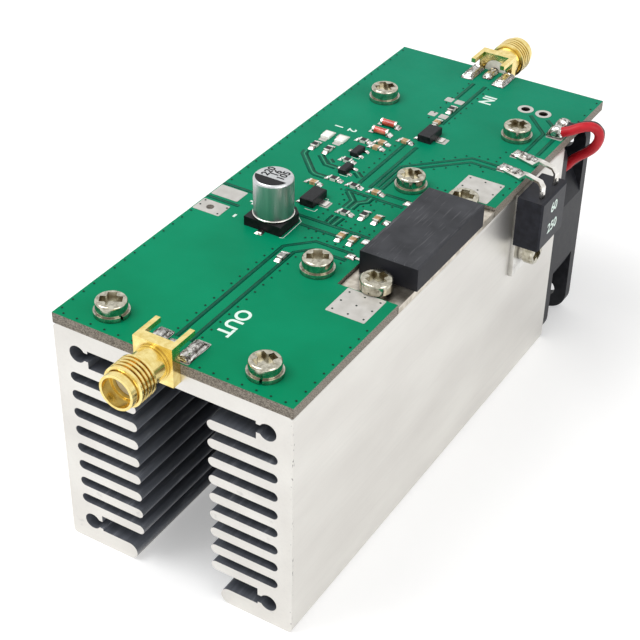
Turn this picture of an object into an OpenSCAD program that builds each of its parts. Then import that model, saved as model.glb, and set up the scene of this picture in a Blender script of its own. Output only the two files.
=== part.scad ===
// VHF power amplifier: a circuit board on a fan-cooled tunnel heat sink, in millimetres.
// The origin is on the plane of the bottom lips, at the middle of the heat sink. The output jack
// points along -Y, the fan and the input jack are at +Y, and +Z is up.

/* [Heat sink] */
// Width of the heat sink, of the board and of the fan
sink_w = 40; // [36:1:48]
// Height of the heat sink and of the fan
sink_h = 40; // [36:1:48]
// Length of the heat sink
sink_l = 86.4; // [77:0.1:112]
// Thickness of the outer side walls
side_wall = 2.4; // [2:0.1:3.2]
// Thickness of the top plate that carries the board
top_plate_t = 2.8; // [2.4:0.1:3.6]
// Thickness of the two bottom lips
lip_t = 2.9; // [2.1:0.1:3.2]
// Reach of each bottom lip in from the side
lip_reach = 12.3; // [9.6:0.1:13.1]
// Width of the open channel between the fin tips
channel_w = 12.3; // [8.8:0.1:14.4]
// Fins on each side of the channel
fin_count = 9; // [5:1:9]
// Height of the slots above and below the fins
end_slot_h = 3.05; // [2.4:0.05:3.6]
// Thickness of a fin
fin_t = 1.65; // [1.15:0.05:2.05]
// Diameter of the screw ports in the four corners
port_d = 2.8; // [2.7:0.1:3.2]
// Width of the slit into each screw port
port_slit_w = 1.45; // [0.8:0.05:1.75]
// Length of the slit into each screw port, from the port's centre
port_slit_l = 1.85; // [1.45:0.05:2.8]
// Radius of the outer corners
sink_corner_r = 0.7; // [0.4:0.1:1.6]

/* [Circuit board] */
// Thickness of the circuit board
board_t = 1.75; // [1.3:0.05:1.9]
// Length of board that reaches past the fan
board_past_fan = 4; // [2.5:0.5:8]
// Distance of the corner screws from the long edges
corner_screw_inset_x = 7.2; // [5.6:0.1:8]
// Distance of the corner screws from the ends of the heat sink
corner_screw_inset_y = 4.4; // [3.6:0.1:7.2]
// Distance of the middle screws from the notch
mid_screw_inset = 4.25; // [3.2:0.05:5.6]
// Spacing of the middle screws along the board
mid_screw_pitch = 28.5; // [25:0.1:35]
// Diameter of the two spare cable holes
aux_hole_d = 1.6; // [1.2:0.1:2.2]
// Spacing of the two spare cable holes
aux_hole_pitch = 3.35; // [2.75:0.05:4]
// Diameter of the ground wire hole
ground_hole_d = 1; // [0.7:0.1:1.2]

/* [Screws] */
// Thread diameter of the machine screws
screw_d = 2.5; // [2:0.1:2.6]
// Length of the board screws under the head
board_screw_l = 6; // [5.6:0.2:7]
// Length of the module screws in the heat sink
module_screw_bite = 2.4; // [2:0.1:2.5]
// Diameter of the pan heads
screw_head_d = 4.7; // [4:0.1:5.1]
// Diameter of the module screws' heads
module_head_d = 5; // [4.4:0.1:5.4]
// Height of the pan heads
screw_head_h = 1.7; // [1.5:0.1:2]
// Radius of the rim of a pan head
screw_rim_r = 0.4; // [0.2:0.1:0.7]
// Width of each arm of the cross recess
cross_w = 1.35; // [0.8:0.05:1.5]
// Length across the cross recess
cross_l = 3.3; // [2.6:0.1:3.8]
// Width of the square middle of the cross recess
cross_middle = 2.2; // [1.6:0.05:2.3]
// Depth of the cross recess
cross_depth = 0.8; // [0.6:0.1:1.2]
// Diameter of the split spring washers
washer_d = 5.3; // [4.5:0.1:5.6]
// Thickness of the split spring washers
washer_t = 0.7; // [0.5:0.1:0.9]
// Diameter of the module screws' washers
module_washer_d = 3.7; // [3.4:0.1:4]
// Width of the split in a spring washer
washer_split = 0.4; // [0.3:0.1:0.9]
// Diameter of the thermostat's spring washer
thermo_washer_d = 4.3; // [4:0.1:5.2]
// Thickness of the thermostat's spring washer
thermo_washer_t = 0.95; // [0.5:0.05:1.1]

/* [Power module] */
// Length of the black cap
module_cap_l = 21.3; // [17.6:0.1:25.6]
// Width of the black cap
module_cap_w = 9.7; // [8:0.1:10]
// Height of the black cap
module_cap_h = 4; // [2.9:0.1:5.6]
// Wall thickness of the black cap
module_cap_wall = 0.65; // [0.5:0.05:0.95]
// Chamfer round the top of the black cap
module_cap_chamfer = 0.25; // [0.1:0.05:0.6]
// Reach of the cap past the side of the heat sink
module_cap_overhang = 0.35; // [0:0.05:0.6]
// Width of the metal flange
module_flange_w = 9.85; // [9.45:0.05:11.2]
// Length of flange past each screw's centre
module_flange_end = 1.85; // [1.8:0.05:3.2]
// Gap between the cap and the head of a module screw
module_screw_gap = 0.5; // [0.2:0.05:0.7]
// Distance of the module screws from the side of the heat sink
module_screw_inset = 4.7; // [4:0.1:5.6]
// Thickness of the ceramic substrate
substrate_t = 0.55; // [0.35:0.05:0.7]
// Middle of the module along the board
module_y = 0.3; // [-2.4:0.1:2.4]
// Width of a module lead
module_lead_w = 0.5; // [0.35:0.05:0.8]
// Thickness of a module lead
module_lead_t = 0.2; // [0.15:0.05:0.3]
// Length of each module lead outside the cap
module_lead_l = 2.4; // [1.6:0.1:3.2]
// Length and width of a transistor die
die_w = 1.1; // [0.7:0.1:1.6]
// Thickness of a transistor die
die_t = 0.25; // [0.15:0.05:0.4]

/* [Coaxial jacks] */
// Distance of the jacks' axis from the middle of the board
jack_x = -1.15; // [-3:0.05:3]
// Height of the jacks' axis above the board's top
jack_rise = 0.1; // [-0.3:0.1:0.5]
// Width of a jack's square flange
jack_flange_w = 6.5; // [6.3:0.1:7.6]
// Height of a jack's square flange
jack_flange_h = 6.4; // [6.3:0.1:7.6]
// Thickness of a jack's square flange
jack_flange_t = 1.7; // [1.2:0.1:2.4]
// Length of the legs over the board
jack_leg_l = 3.6; // [2.4:0.1:4.8]
// Width and height of the legs
jack_leg_w = 0.8; // [0.6:0.1:1.1]
// Diameter of the plain neck
jack_neck_d = 5.2; // [5.1:0.1:5.5]
// Length of the plain neck
jack_neck_l = 3.3; // [2:0.1:4]
// Outer diameter of the thread
jack_thread_d = 6.35; // [6.2:0.05:6.5]
// Depth of the thread
jack_thread_depth = 0.35; // [0.2:0.05:0.4]
// Pitch of the thread
jack_pitch = 0.7; // [0.6:0.02:0.8]
// Thread ridges
jack_ridges = 5; // [4:1:7]
// Length of the groove behind the rim
jack_groove_l = 0.3; // [0.2:0.05:0.8]
// Diameter of the plain rim
jack_rim_d = 5.5; // [5.2:0.1:5.7]
// Length of the plain rim
jack_rim_l = 1; // [0.8:0.1:2]
// Inner diameter of the mouth
jack_mouth_d = 4.7; // [4.5:0.1:4.8]
// Depth of the mouth
jack_mouth_depth = 2; // [1:0.1:2.6]
// Diameter of the white insulator
insulator_d = 4.1; // [3.6:0.1:4.3]
// Diameter of the centre contact
contact_d = 1.3; // [1:0.05:1.5]
// Diameter of the centre contact's socket
contact_bore_d = 0.92; // [0.6:0.02:0.95]
// Length of the contact's tail on the board
contact_tail_l = 2.8; // [1.6:0.1:3.6]
// Thickness of the contact's tail
contact_tail_t = 0.35; // [0.2:0.05:0.5]

/* [Supply capacitor] */
// Place of the capacitor across the board
can_x = -6.95; // [-9.6:0.05:-5]
// Place of the capacitor along the board
can_y = -6.15; // [-11:0.05:-5]
// Diameter of the aluminium can
can_d = 6.3; // [5.1:0.1:8]
// Height of the capacitor above the board
can_h = 8.1; // [5.6:0.1:9.6]
// Wall thickness of the can
can_wall = 0.25; // [0.15:0.05:0.4]
// Rounding of the can's top edge
can_edge_r = 0.5; // [0.3:0.1:0.8]
// Height of the black base
base_h = 1.6; // [1.2:0.1:2.4]
// Reach of the base past the can
base_margin = 0.15; // [0.1:0.05:0.45]
// Chamfer of the two base corners on the positive side
base_chamfer = 1.3; // [0.7:0.1:1.7]
// Thickness of the rubber seal
seal_t = 1.1; // [0.8:0.1:1.6]
// Width of the capacitor's flat terminals
can_lead_w = 0.7; // [0.5:0.1:1.1]
// Thickness of the capacitor's flat terminals
can_lead_t = 0.15; // [0.1:0.05:0.25]

/* [Small parts] */
// Length of a chip part
chip_l = 1.6; // [1.3:0.1:1.7]
// Width of a chip part
chip_w = 1; // [0.65:0.05:1.1]
// Height of a chip part
chip_h = 0.5; // [0.35:0.05:0.6]
// Length of a chip part's metal ends
chip_end_l = 0.3; // [0.2:0.05:0.45]
// Length of the regulator and driver bodies
tab_body_l = 4.3; // [4:0.1:4.6]
// Width of the regulator and driver bodies
tab_body_w = 2.4; // [2.2:0.1:2.6]
// Height of the regulator and driver bodies
tab_body_h = 1.4; // [1.2:0.1:1.6]
// Width of the heat tab of the regulator and the driver
tab_w = 1.5; // [1.2:0.1:1.9]
// Length of the heat tab of the regulator and the driver
tab_l = 1.5; // [0.8:0.1:1.7]
// Length of the small transistor bodies
sot_body_l = 2.8; // [2.5:0.1:3]
// Width of the small transistor bodies
sot_body_w = 1.35; // [1.2:0.05:1.5]
// Height of the small transistor bodies
sot_body_h = 0.9; // [0.7:0.05:1.1]
// Width of the small leads
small_lead_w = 0.4; // [0.3:0.05:0.5]
// Thickness of the small leads
small_lead_t = 0.25; // [0.15:0.05:0.3]
// Length of the small leads outside the bodies
small_lead_l = 0.75; // [0.5:0.05:0.9]
// Diameter of the glass diodes
diode_d = 1.2; // [1:0.05:1.35]
// Length of the glass diodes
diode_l = 3; // [2.6:0.1:3.3]
// Length of the metal ends of a glass diode
diode_end_l = 0.35; // [0.25:0.05:0.6]
// Length of an indicator light
led_l = 1.9; // [1.5:0.1:2.2]
// Width of an indicator light
led_w = 1.6; // [1:0.1:1.9]
// Height of an indicator light
led_h = 0.55; // [0.4:0.05:0.95]

/* [Thermostat] */
// Width of the thermostat body
thermo_w = 9.35; // [8.8:0.05:11.2]
// Height of the thermostat body
thermo_h = 8.95; // [8.5:0.05:11.2]
// Thickness of the thermostat body
thermo_t = 4.55; // [4.35:0.05:6.4]
// Wall thickness at the front of the thermostat body
thermo_wall = 0.65; // [0.5:0.05:0.8]
// Chamfer round the front of the thermostat body
thermo_chamfer = 0.3; // [0.2:0.05:0.6]
// Distance of the thermostat's middle from the back of the heat sink
thermo_rear = 15.9; // [14.4:0.1:20.8]
// Drop of the thermostat's top below the board's top
thermo_drop = 1.15; // [0.5:0.05:2.4]
// Thickness of the fixing tab
thermo_tab_t = 0.8; // [0.7:0.1:1.1]
// Width of the fixing tab
thermo_tab_w = 7.2; // [7.1:0.1:8.4]
// Length of fixing tab below the body
thermo_tab_l = 6.9; // [6.1:0.1:8.8]
// Distance of the fixing screw from the tab's lower end
thermo_screw_inset = 4; // [2.9:0.1:4.1]
// Width of the chambers inside the body
chamber_w = 6.55; // [6.4:0.05:6.85]
// Height of the chambers inside the body
chamber_h = 7.05; // [6.6:0.05:7.2]
// Diameter of the bimetal disc
disc_d = 5.9; // [4.8:0.1:6.2]
// Thickness of the bimetal disc
disc_t = 0.15; // [0.1:0.05:0.25]
// Dish of the bimetal disc
disc_dish = 0.3; // [0.15:0.05:0.35]
// Diameter of the push pin
push_pin_d = 1.1; // [0.8:0.1:1.6]
// Width of the thermostat leads
thermo_lead_w = 0.95; // [0.65:0.05:1.1]
// Thickness of the thermostat leads
thermo_lead_t = 0.4; // [0.25:0.05:0.45]
// Spacing of the thermostat leads
thermo_lead_pitch = 5.2; // [4.9:0.1:5.4]
// Distance of the leads from the front of the thermostat body
thermo_lead_inset = 1.3; // [1.15:0.05:1.4]
// Rise of the leads above the board's top
thermo_lead_rise = 1.45; // [0.8:0.05:2.4]
// Angle at which the leads run back over the board
thermo_lead_skew = 18; // [0:1:25]
// Length of each lead on the board
thermo_lead_foot = 3.7; // [2.4:0.1:4.8]
// Travel of the push pin
push_pin_travel = 0.2; // [0.1:0.05:0.2]

/* [Fan] */
// Depth of the fan
fan_t = 12; // [10.5:0.5:20]
// Distance of the fan's corner holes and of the screw ports from the outer faces
fan_hole_inset = 4; // [3.7:0.1:4.3]
// Diameter of the fan's corner holes
fan_hole_d = 3.4; // [3.3:0.1:3.7]
// Thickness of the two end flanges
fan_flange_t = 2; // [1.6:0.1:2.8]
// Radius of the fan's corners
fan_corner_r = 3.6; // [2.4:0.1:4]
// Thinnest wall of the air duct
duct_wall = 1.1; // [0.8:0.1:1.9]
// Wall of the round shroud
shroud_wall = 2.1; // [1.6:0.1:2.4]
// Gap between the blade tips and the duct
tip_gap = 0.55; // [0.35:0.05:0.95]
// Diameter of the hub
hub_d = 21; // [19:0.5:24]
// Wall of the hub
hub_wall = 0.9; // [0.7:0.1:1.1]
// Blades
blade_count = 7; // [5:1:9]
// Thickness of a blade
blade_t = 0.9; // [0.7:0.1:1.2]
// Sweep of a blade round the axis
blade_sweep = 8.8; // [5.6:0.1:9.6]
// Camber radius of a blade
blade_camber_r = 13.6; // [12:0.1:19.2]
// Width of the four struts
strut_w = 2.1; // [1.6:0.1:3.2]
// Diameter of the shaft
shaft_d = 1.6; // [1.2:0.1:1.9]
// Outer diameter of the sleeve bearing
bearing_d = 4; // [3.2:0.1:4.1]
// Wall of the bearing tube
bearing_tube_wall = 0.9; // [0.7:0.1:0.9]
// Thickness of the motor's base plate
motor_base_t = 1.35; // [1.15:0.05:1.6]
// Thickness of the driver board
driver_board_t = 0.8; // [0.5:0.1:0.9]
// Thickness of the stator core
stator_t = 3.6; // [2.8:0.1:4]
// Width of a stator pole
pole_w = 1.9; // [1.5:0.1:2.4]
// Thickness of a winding
coil_t = 0.7; // [0.4:0.1:0.8]
// Thickness of the steel yoke
yoke_t = 0.4; // [0.4:0.1:0.6]
// Thickness of the magnet ring
magnet_t = 1.1; // [0.8:0.1:1.4]
// Length of the fan screws
fan_screw_l = 8; // [6.5:0.5:11]

/* [Fan leads] */
// Diameter of the fan leads
lead_d = 1.7; // [1.1:0.1:1.8]

/* [Hidden] */
$fn = 64;

// Clearances: machine screws in tapped holes and in plain holes, fixed fits, and cuts past a face
thread_gap = 0.05;
hole_gap = 0.2;
fit_gap = 0.02;
run_gap = 0.03;
clear_gap = 0.3;
cut = 1;

// Planes of the heat sink and of the board
front_y = -sink_l / 2;
rear_y = sink_l / 2;
side_x = sink_w / 2;
mid_z = sink_h / 2;
board_top = sink_h + board_t;
board_l = sink_l + fan_t + board_past_fan;
board_rear_y = front_y + board_l;

// Fin stack of the heat sink
port_x = side_x - fan_hole_inset;
port_z = mid_z - fan_hole_inset;
fin_stack_bottom = lip_t + end_slot_h;
fin_stack_top = sink_h - top_plate_t - end_slot_h;
fin_pitch = (fin_stack_top - fin_stack_bottom - fin_t) / (fin_count - 1);
slot_h = fin_pitch - fin_t;
end_slot_x = port_x - port_slit_l;

// Power module and the notch that holds it
flange_t = board_t - substrate_t;
flange_top = sink_h + flange_t;
module_screw_pitch = module_cap_l + module_head_d + 2 * module_screw_gap;
module_washer_t = substrate_t + hole_gap;
module_flange_l = module_screw_pitch + 2 * module_flange_end;
module_cap_x = side_x + module_cap_overhang - module_cap_w;
notch_x = side_x - module_flange_w - hole_gap;
notch_l = module_flange_l + 2 * hole_gap;
module_screw_x = side_x - module_screw_inset;
module_lead_places = [-0.41, -0.19, 0.11, 0.43] * module_cap_l;
die_places = [-0.3, 0, 0.3] * module_cap_l;

// Places of the board screws, then of the module screws
board_screw_places = concat(
    [for (x = [-1, 1], y = [front_y + corner_screw_inset_y, rear_y - corner_screw_inset_y])
        [x * (side_x - corner_screw_inset_x), y]],
    [for (s = [-1, 1]) [notch_x - mid_screw_inset, module_y + s * mid_screw_pitch / 2]]
);
board_screw_turns = [30, 50, 61, 60, 30, 55];
washer_turns = [-20, 60, -70, 110, 80, 150];
module_screw_places = [for (s = [-1, 1]) [module_screw_x, module_y + s * module_screw_pitch / 2]];
module_screw_turns = [65, 12];
aux_hole_place = [side_x - 10.15, rear_y + 5.6];
ground_hole_place = [2.5 - side_x, -8];

// Coaxial jack, measured out from the end of the board
jack_z = board_top + jack_rise;
thread_start = jack_flange_t + jack_neck_l;
thread_end = thread_start + jack_ridges * jack_pitch;
rim_start = thread_end + jack_groove_l;
jack_l = rim_start + jack_rim_l;
mouth_start = jack_l - jack_mouth_depth;
insulator_recess = 0.6;
insulator_end = mouth_start - insulator_recess;
thread_root_d = jack_thread_d - 2 * jack_thread_depth;
neck_ring_l = 0.4;
crest_l = jack_pitch / 2;
flank_l = (jack_pitch - crest_l) / 3;

// Supply capacitor
can_bottom = board_top + base_h / 2;
can_top = board_top + can_h;
base_w = can_d + 2 * base_margin;
seal_bottom = can_bottom + can_wall;
can_pin_y = 1.3;
can_pin_d = 0.5;

// Small parts on the board: place across, place along, and quarter turn. Those beside the left edge
// and beside the notch keep their distance from it.
left_resistors = [[5.9, 17.6, 90], [8.55, 17.5, 90]];
middle_resistors = [[-5.7, 9.7, 0], [-1.85, 9.5, 0], [-6.95, 16, 0], [-8, 23.2, 0], [-0.8, 41.35, 90]];
notch_resistors = [[-8.95, 1.7, 0], [-6, 2.8, 90]];
middle_ceramics = [
    [-0.5, -13.9, 90], [-7.85, 6.95, 0], [-5.1, 22.3, 0], [-5.1, 24.25, 0], [-2.1, 26.8, 0], [-0.7, 35.6, 90]
];
notch_ceramics = [[-5.9, -4.4, 90], [-3.85, -4.4, 90], [-3.7, 2.8, 90], [-7.9, 9.6, 0]];
left_leds = [[5.9, 21.6, 90], [8.65, 21.5, 90]];
left_edge = [-side_x, 0, 0];
notch_edge = [notch_x, 0, 0];
function moved(places, by) = [for (p = places) p + by];
resistor_places = concat(
    moved(left_resistors, left_edge), middle_resistors, moved(notch_resistors, notch_edge)
);
ceramic_places = concat(middle_ceramics, moved(notch_ceramics, notch_edge));
led_places = moved(left_leds, left_edge);
sot_places = [[-5.6, 13.3], [-6.9, 19.3]];
diode_places = [[-6.95, 27.2], [-7.05, 30.3]];
regulator_place = [-5.1, 2.4];
driver_place = [0.6, 30.55];
sot_lead_pitch = 1.9;
tab_lead_pitch = 1.5;
body_chamfer = 0.15;

// Thermostat, with its inside parts stacked out from the heat sink's side
thermo_y = rear_y - thermo_rear;
thermo_x0 = side_x + thermo_tab_t;
thermo_x1 = thermo_x0 + thermo_t;
thermo_top = board_top - thermo_drop;
thermo_z = thermo_top - thermo_h / 2;
thermo_screw_z = thermo_top - thermo_h - thermo_tab_l + thermo_screw_inset;
thermo_lead_x = thermo_x1 - thermo_lead_inset;
lead_a_y = thermo_y - thermo_lead_pitch / 2;
lead_b_y = thermo_y + thermo_lead_pitch / 2;
arm_t = 0.15;
button_t = 0.15;
button_d = 1.1;
arm_h = 1.6;
arm_tip = 0.4;
rivet_r = 0.3;
contact_gap = push_pin_travel + clear_gap;
lead_inner_x = thermo_lead_x - thermo_lead_t / 2;
arm_x = lead_inner_x - button_t - contact_gap - button_t - arm_t;
disc_chamber_t = 0.8;
guide_x = thermo_x0 + disc_chamber_t;
guide_t = 0.65;
push_pin_x = thermo_x0 + disc_dish + clear_gap;
lead_bend = 0.65;
thermo_screw_turn = 30;

// Fan, measured back from the rear of the heat sink
duct_r = min(sink_w, sink_h) / 2 - duct_wall;
shroud_r = duct_r + shroud_wall;
tip_r = duct_r - tip_gap;
hub_r = hub_d / 2;
base_front = 0.3;
base_rear = base_front + motor_base_t;
hub_inset = 0.55;
hub_rear = fan_t - hub_inset;
hub_top_t = 1;
hub_floor = hub_rear - hub_top_t;
boss_l = 1.3;
tube_rear = hub_floor - boss_l - clear_gap;
tube_r = bearing_d / 2 + bearing_tube_wall;
bearing_front = base_rear + hole_gap;
hub_front = base_rear + driver_board_t + 2 * clear_gap;
stator_front = base_rear + driver_board_t + clear_gap + coil_t;
yoke_r = hub_r - hub_wall - fit_gap;
magnet_r = yoke_r - yoke_t - fit_gap;
air_gap = 0.4;
stator_r = magnet_r - magnet_t - air_gap;
pole_tip_t = 1;
core_ring_t = 1.1;
core_r = tube_r + run_gap + core_ring_t;
blade_inset = 0.5;
blade_front = hub_front + blade_inset;
blade_rear = hub_rear - blade_inset;
clip_t = 0.3;
clip_d = bearing_d - 4 * clear_gap;
clip_mouth = 0.8;
clip_front = base_rear - clip_t - clear_gap;
shaft_front = clip_front - clip_t;
groove_depth = 0.2;
port_gap = 0.1;
fan_screw_r = port_d / 2 - port_gap;

// Steps of the two fan leads from the board's corner over the fan; the far ends go into the shroud
red_steps = [
    [-2, -0.5, 0.95], [-0.9, -0.4, 1.05], [0.2, -0.3, 1.4], [1.15, 0.05, 1.85], [2.1, 0.6, 2.25],
    [3, 1.15, 2.45], [3.85, 1.65, 2.35], [4.5, 2.1, 1.8], [4.8, 2.5, 0.95], [4.75, 2.9, -0.2],
    [4.3, 3.35, -1.5], [3.5, 3.8, -2.85], [2.4, 4.15, -4.1], [1.2, 4.3, -5.15], [0.35, 4.3, -5.95],
    [-0.3, 4.3, -6.75], [-0.85, 4.3, -7.6], [-1.5, 4.3, -8.35], [-2.25, 4.3, -9], [-3, 4.3, -9.5],
    [-3.66, 4.3, -9.88]
];
black_steps = [
    [-2, 2.3, 0.95], [-0.9, 2.2, 0.95], [-0.1, 2.1, 0.95], [0.7, 2.15, 1.1], [1.5, 2.5, 1.45],
    [2.4, 3.1, 1.6], [3.2, 3.75, 1.45], [3.75, 4.5, 0.7], [4, 5.15, -0.25], [3.9, 5.55, -1.45],
    [3.45, 6, -2.75], [2.65, 6.45, -4.1], [1.6, 6.65, -5.25], [0.6, 6.5, -6.25], [0, 6.5, -6.9],
    [-0.5, 6.5, -7.5], [-1.05, 6.45, -8.05], [-1.65, 6.4, -8.6], [-2.3, 6.4, -9.1], [-3, 6.4, -9.5],
    [-3.66, 6.4, -9.88]
];
lead_corner = [side_x, rear_y, board_top];
lead_end_depth = 0.8;
lead_end_r = shroud_r - lead_end_depth;
lead_end_angle = 36;
loop_steps = 9;
red_route = lead_route(red_steps);
black_route = lead_route(black_steps);
lead_sides = 8;
lead_hole_gap = 0.3;

// Route of a lead: its loop keeps to the board's corner and the rest leads over to the shroud
function lead_route(steps) =
    let (
        last = len(steps) - 1,
        end = lead_corner + steps[last],
        entry = [lead_end_r * cos(lead_end_angle), end.y, mid_z + lead_end_r * sin(lead_end_angle)]
    )
    [for (i = [0 : last])
        lead_corner + steps[i] + (entry - end) * max(0, i - loop_steps) / (last - loop_steps)];

// Cylinder along X between two planes
module bar_x(r, x0, x1) {
    translate([x0, 0, 0])
        rotate([0, 90, 0])
            cylinder(r = r, h = x1 - x0);
}

// Box from its least corner to its greatest corner
module span(a, b) {
    translate(a)
        cube(b - a);
}

// Box on the plane z = 0, centred across, with the edges of its top chamfered
module chamfered_block(l, w, h, c) {
    intersection() {
        translate([0, w / 2, 0])
            rotate([90, 0, 0])
                linear_extrude(w)
                    chamfered_outline(l, h, c);
        translate([-l / 2, 0, 0])
            rotate([90, 0, 90])
                linear_extrude(l)
                    chamfered_outline(w, h, c);
    }
}

module chamfered_outline(w, h, c) {
    polygon([
        [-w / 2, 0], [w / 2, 0], [w / 2, h - c], [w / 2 - c, h], [c - w / 2, h], [-w / 2, h - c]
    ]);
}

// Rectangle with round corners, centred
module round_rectangle(w, h, r) {
    square([w, h - 2 * r], center = true);
    square([w - 2 * r, h], center = true);
    for (x = [-1, 1], y = [-1, 1])
        translate([x * (w / 2 - r), y * (h / 2 - r)])
            circle(r);
}

// Pan head screw with a cross recess: the head stands on z = 0 and the shank points down
module pan_screw(d, l, head_d = screw_head_d) {
    difference() {
        union() {
            rotate_extrude()
                pan_head_outline(head_d);
            translate([0, 0, -l])
                cylinder(d = d, h = l + cut / 2);
        }
        translate([0, 0, screw_head_h - cross_depth])
            linear_extrude(cross_depth + cut)
                cross_outline();
    }
}

module cross_outline() {
    square([cross_l, cross_w], center = true);
    square([cross_w, cross_l], center = true);
    rotate(45)
        square(cross_middle, center = true);
}

module pan_head_outline(head_d) {
    square([head_d / 2 - screw_rim_r, screw_head_h]);
    square([head_d / 2, screw_head_h - screw_rim_r]);
    intersection() {
        translate([head_d / 2 - screw_rim_r, screw_head_h - screw_rim_r])
            circle(screw_rim_r);
        square([head_d, screw_head_h]);
    }
}

// Spring washer on the plane z = 0, split towards +X
module spring_washer(d, t) {
    difference() {
        cylinder(d = d, h = t);
        translate([0, 0, -cut])
            cylinder(d = screw_d + 2 * thread_gap, h = t + 2 * cut);
        span([0, -washer_split / 2, -cut], [d, washer_split / 2, t + cut]);
    }
}

// Heat sink profile: X across and Y up
module sink_profile() {
    difference() {
        translate([0, mid_z])
            round_rectangle(sink_w, sink_h, sink_corner_r);
        translate([-(channel_w + fin_t) / 2, -cut])
            square([channel_w + fin_t, sink_h - top_plate_t + cut]);
        lip_mouth = sink_w - 2 * lip_reach + lip_t;
        translate([-lip_mouth / 2, -cut])
            square([lip_mouth, lip_t + cut]);
        for (s = [0, 1])
            mirror([s, 0])
                side_cuts();
    }
    for (s = [-1, 1]) {
        for (i = [0 : fin_count - 1])
            translate([s * (channel_w + fin_t) / 2, fin_z(i)])
                circle(d = fin_t);
        translate([s * (side_x - lip_reach + lip_t / 2), lip_t / 2])
            circle(d = lip_t);
    }
}

function fin_z(i) = fin_stack_bottom + fin_t / 2 + i * fin_pitch;

// Slots between the fins, end slots and screw ports of the right-hand side
module side_cuts() {
    slot_l = side_x - side_wall - slot_h / 2;
    for (i = [0 : fin_count - 2])
        translate([0, fin_z(i) + fin_pitch / 2]) {
            translate([0, -slot_h / 2])
                square([slot_l, slot_h]);
            translate([slot_l, 0])
                circle(d = slot_h);
        }
    for (z = [lip_t, fin_stack_top])
        translate([0, z])
            square([end_slot_x, end_slot_h]);
    for (s = [-1, 1])
        translate([port_x, mid_z + s * port_z]) {
            circle(d = port_d);
            translate([-port_slit_l - cut, -port_slit_w / 2])
                square([port_slit_l + cut, port_slit_w]);
        }
}

module heatsink() {
    color([0.86, 0.86, 0.85])
        difference() {
            translate([0, rear_y, 0])
                rotate([90, 0, 0])
                    linear_extrude(sink_l)
                        sink_profile();
            for (p = concat(board_screw_places, module_screw_places))
                translate([p.x, p.y, sink_h - top_plate_t - cut])
                    cylinder(d = screw_d + 2 * thread_gap, h = top_plate_t + 2 * cut);
            translate([0, thermo_y, thermo_screw_z])
                bar_x(screw_d / 2 + thread_gap, side_x - side_wall - fit_gap, side_x + cut);
        }
}

module board() {
    color([0.04, 0.5, 0.36])
        translate([0, 0, sink_h])
            difference() {
                translate([-side_x, front_y, 0])
                    cube([sink_w, board_l, board_t]);
                translate([notch_x, module_y - notch_l / 2, -cut])
                    cube([sink_w, notch_l, board_t + 2 * cut]);
                for (p = board_screw_places)
                    board_hole(p, screw_d + 2 * hole_gap);
                for (i = [0, 1])
                    board_hole(aux_hole_place + [i * aux_hole_pitch, 0], aux_hole_d);
                board_hole(ground_hole_place, ground_hole_d);
            }
}

module board_hole(p, d) {
    translate([p.x, p.y, -cut])
        cylinder(d = d, h = board_t + 2 * cut);
}

module board_screws() {
    color([0.74, 0.7, 0.62])
        for (i = [0 : len(board_screw_places) - 1])
            on_board(board_screw_places[i])
                translate([0, 0, washer_t])
                    rotate(board_screw_turns[i])
                        pan_screw(screw_d, board_screw_l);
}

module spring_washers() {
    color([0.7, 0.68, 0.64]) {
        for (i = [0 : len(board_screw_places) - 1])
            on_board(board_screw_places[i])
                rotate(washer_turns[i])
                    spring_washer(washer_d, washer_t);
        for (p = module_screw_places)
            translate([p.x, p.y, flange_top])
                spring_washer(module_washer_d, module_washer_t);
        translate([thermo_x0, thermo_y, thermo_screw_z])
            rotate([0, 90, 0])
                spring_washer(thermo_washer_d, thermo_washer_t);
    }
}

module module_flange() {
    color([0.72, 0.68, 0.6])
        difference() {
            translate([side_x - module_flange_w, module_y - module_flange_l / 2, sink_h])
                cube([module_flange_w, module_flange_l, flange_t]);
            for (p = module_screw_places)
                translate([p.x, p.y, sink_h - cut])
                    cylinder(d = screw_d + 2 * hole_gap, h = flange_t + 2 * cut);
        }
}

// Inside face of the cap on the side of the leads, with room for the substrate
module_inner_x = module_cap_x + module_cap_wall + hole_gap;
module_inner_l = module_cap_l - 2 * (module_cap_wall + hole_gap);
substrate_w = side_x - module_inner_x - module_cap_wall - hole_gap;

module module_substrate() {
    color([0.9, 0.88, 0.84])
        translate([module_inner_x, module_y - module_inner_l / 2, flange_top])
            cube([substrate_w, module_inner_l, substrate_t]);
}

module module_dies() {
    color([0.35, 0.36, 0.4])
        for (y = die_places)
            translate([module_inner_x + substrate_w / 2, module_y + y - die_w / 2, board_top])
                cube([die_w, die_w, die_t]);
}

module module_leads() {
    color([0.82, 0.8, 0.76])
        for (y = module_lead_places)
            translate([module_cap_x - module_lead_l, module_y + y - module_lead_w / 2, board_top])
                cube([module_lead_l + module_cap_wall + die_w, module_lead_w, module_lead_t]);
}

module module_cap() {
    color([0.2, 0.2, 0.21])
        translate([module_cap_x + module_cap_w / 2, module_y, flange_top])
            difference() {
                chamfered_block(module_cap_w, module_cap_l, module_cap_h, module_cap_chamfer);
                inner_w = module_cap_w - 2 * module_cap_wall;
                inner_l = module_cap_l - 2 * module_cap_wall;
                translate([-inner_w / 2, -inner_l / 2, -cut])
                    cube([inner_w, inner_l, module_cap_h - module_cap_wall + cut]);
                for (y = module_lead_places)
                    translate([-module_cap_w, y - module_lead_w / 2 - hole_gap, -cut])
                        cube([module_cap_w, module_lead_w + 2 * hole_gap,
                              cut + substrate_t + module_lead_t + hole_gap]);
            }
}

module module_screws() {
    color([0.74, 0.7, 0.62])
        for (i = [0, 1])
            translate([module_screw_places[i].x, module_screw_places[i].y, flange_top + module_washer_t])
                rotate(module_screw_turns[i])
                    pan_screw(screw_d, module_washer_t + flange_t + module_screw_bite, module_head_d);
}

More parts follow.
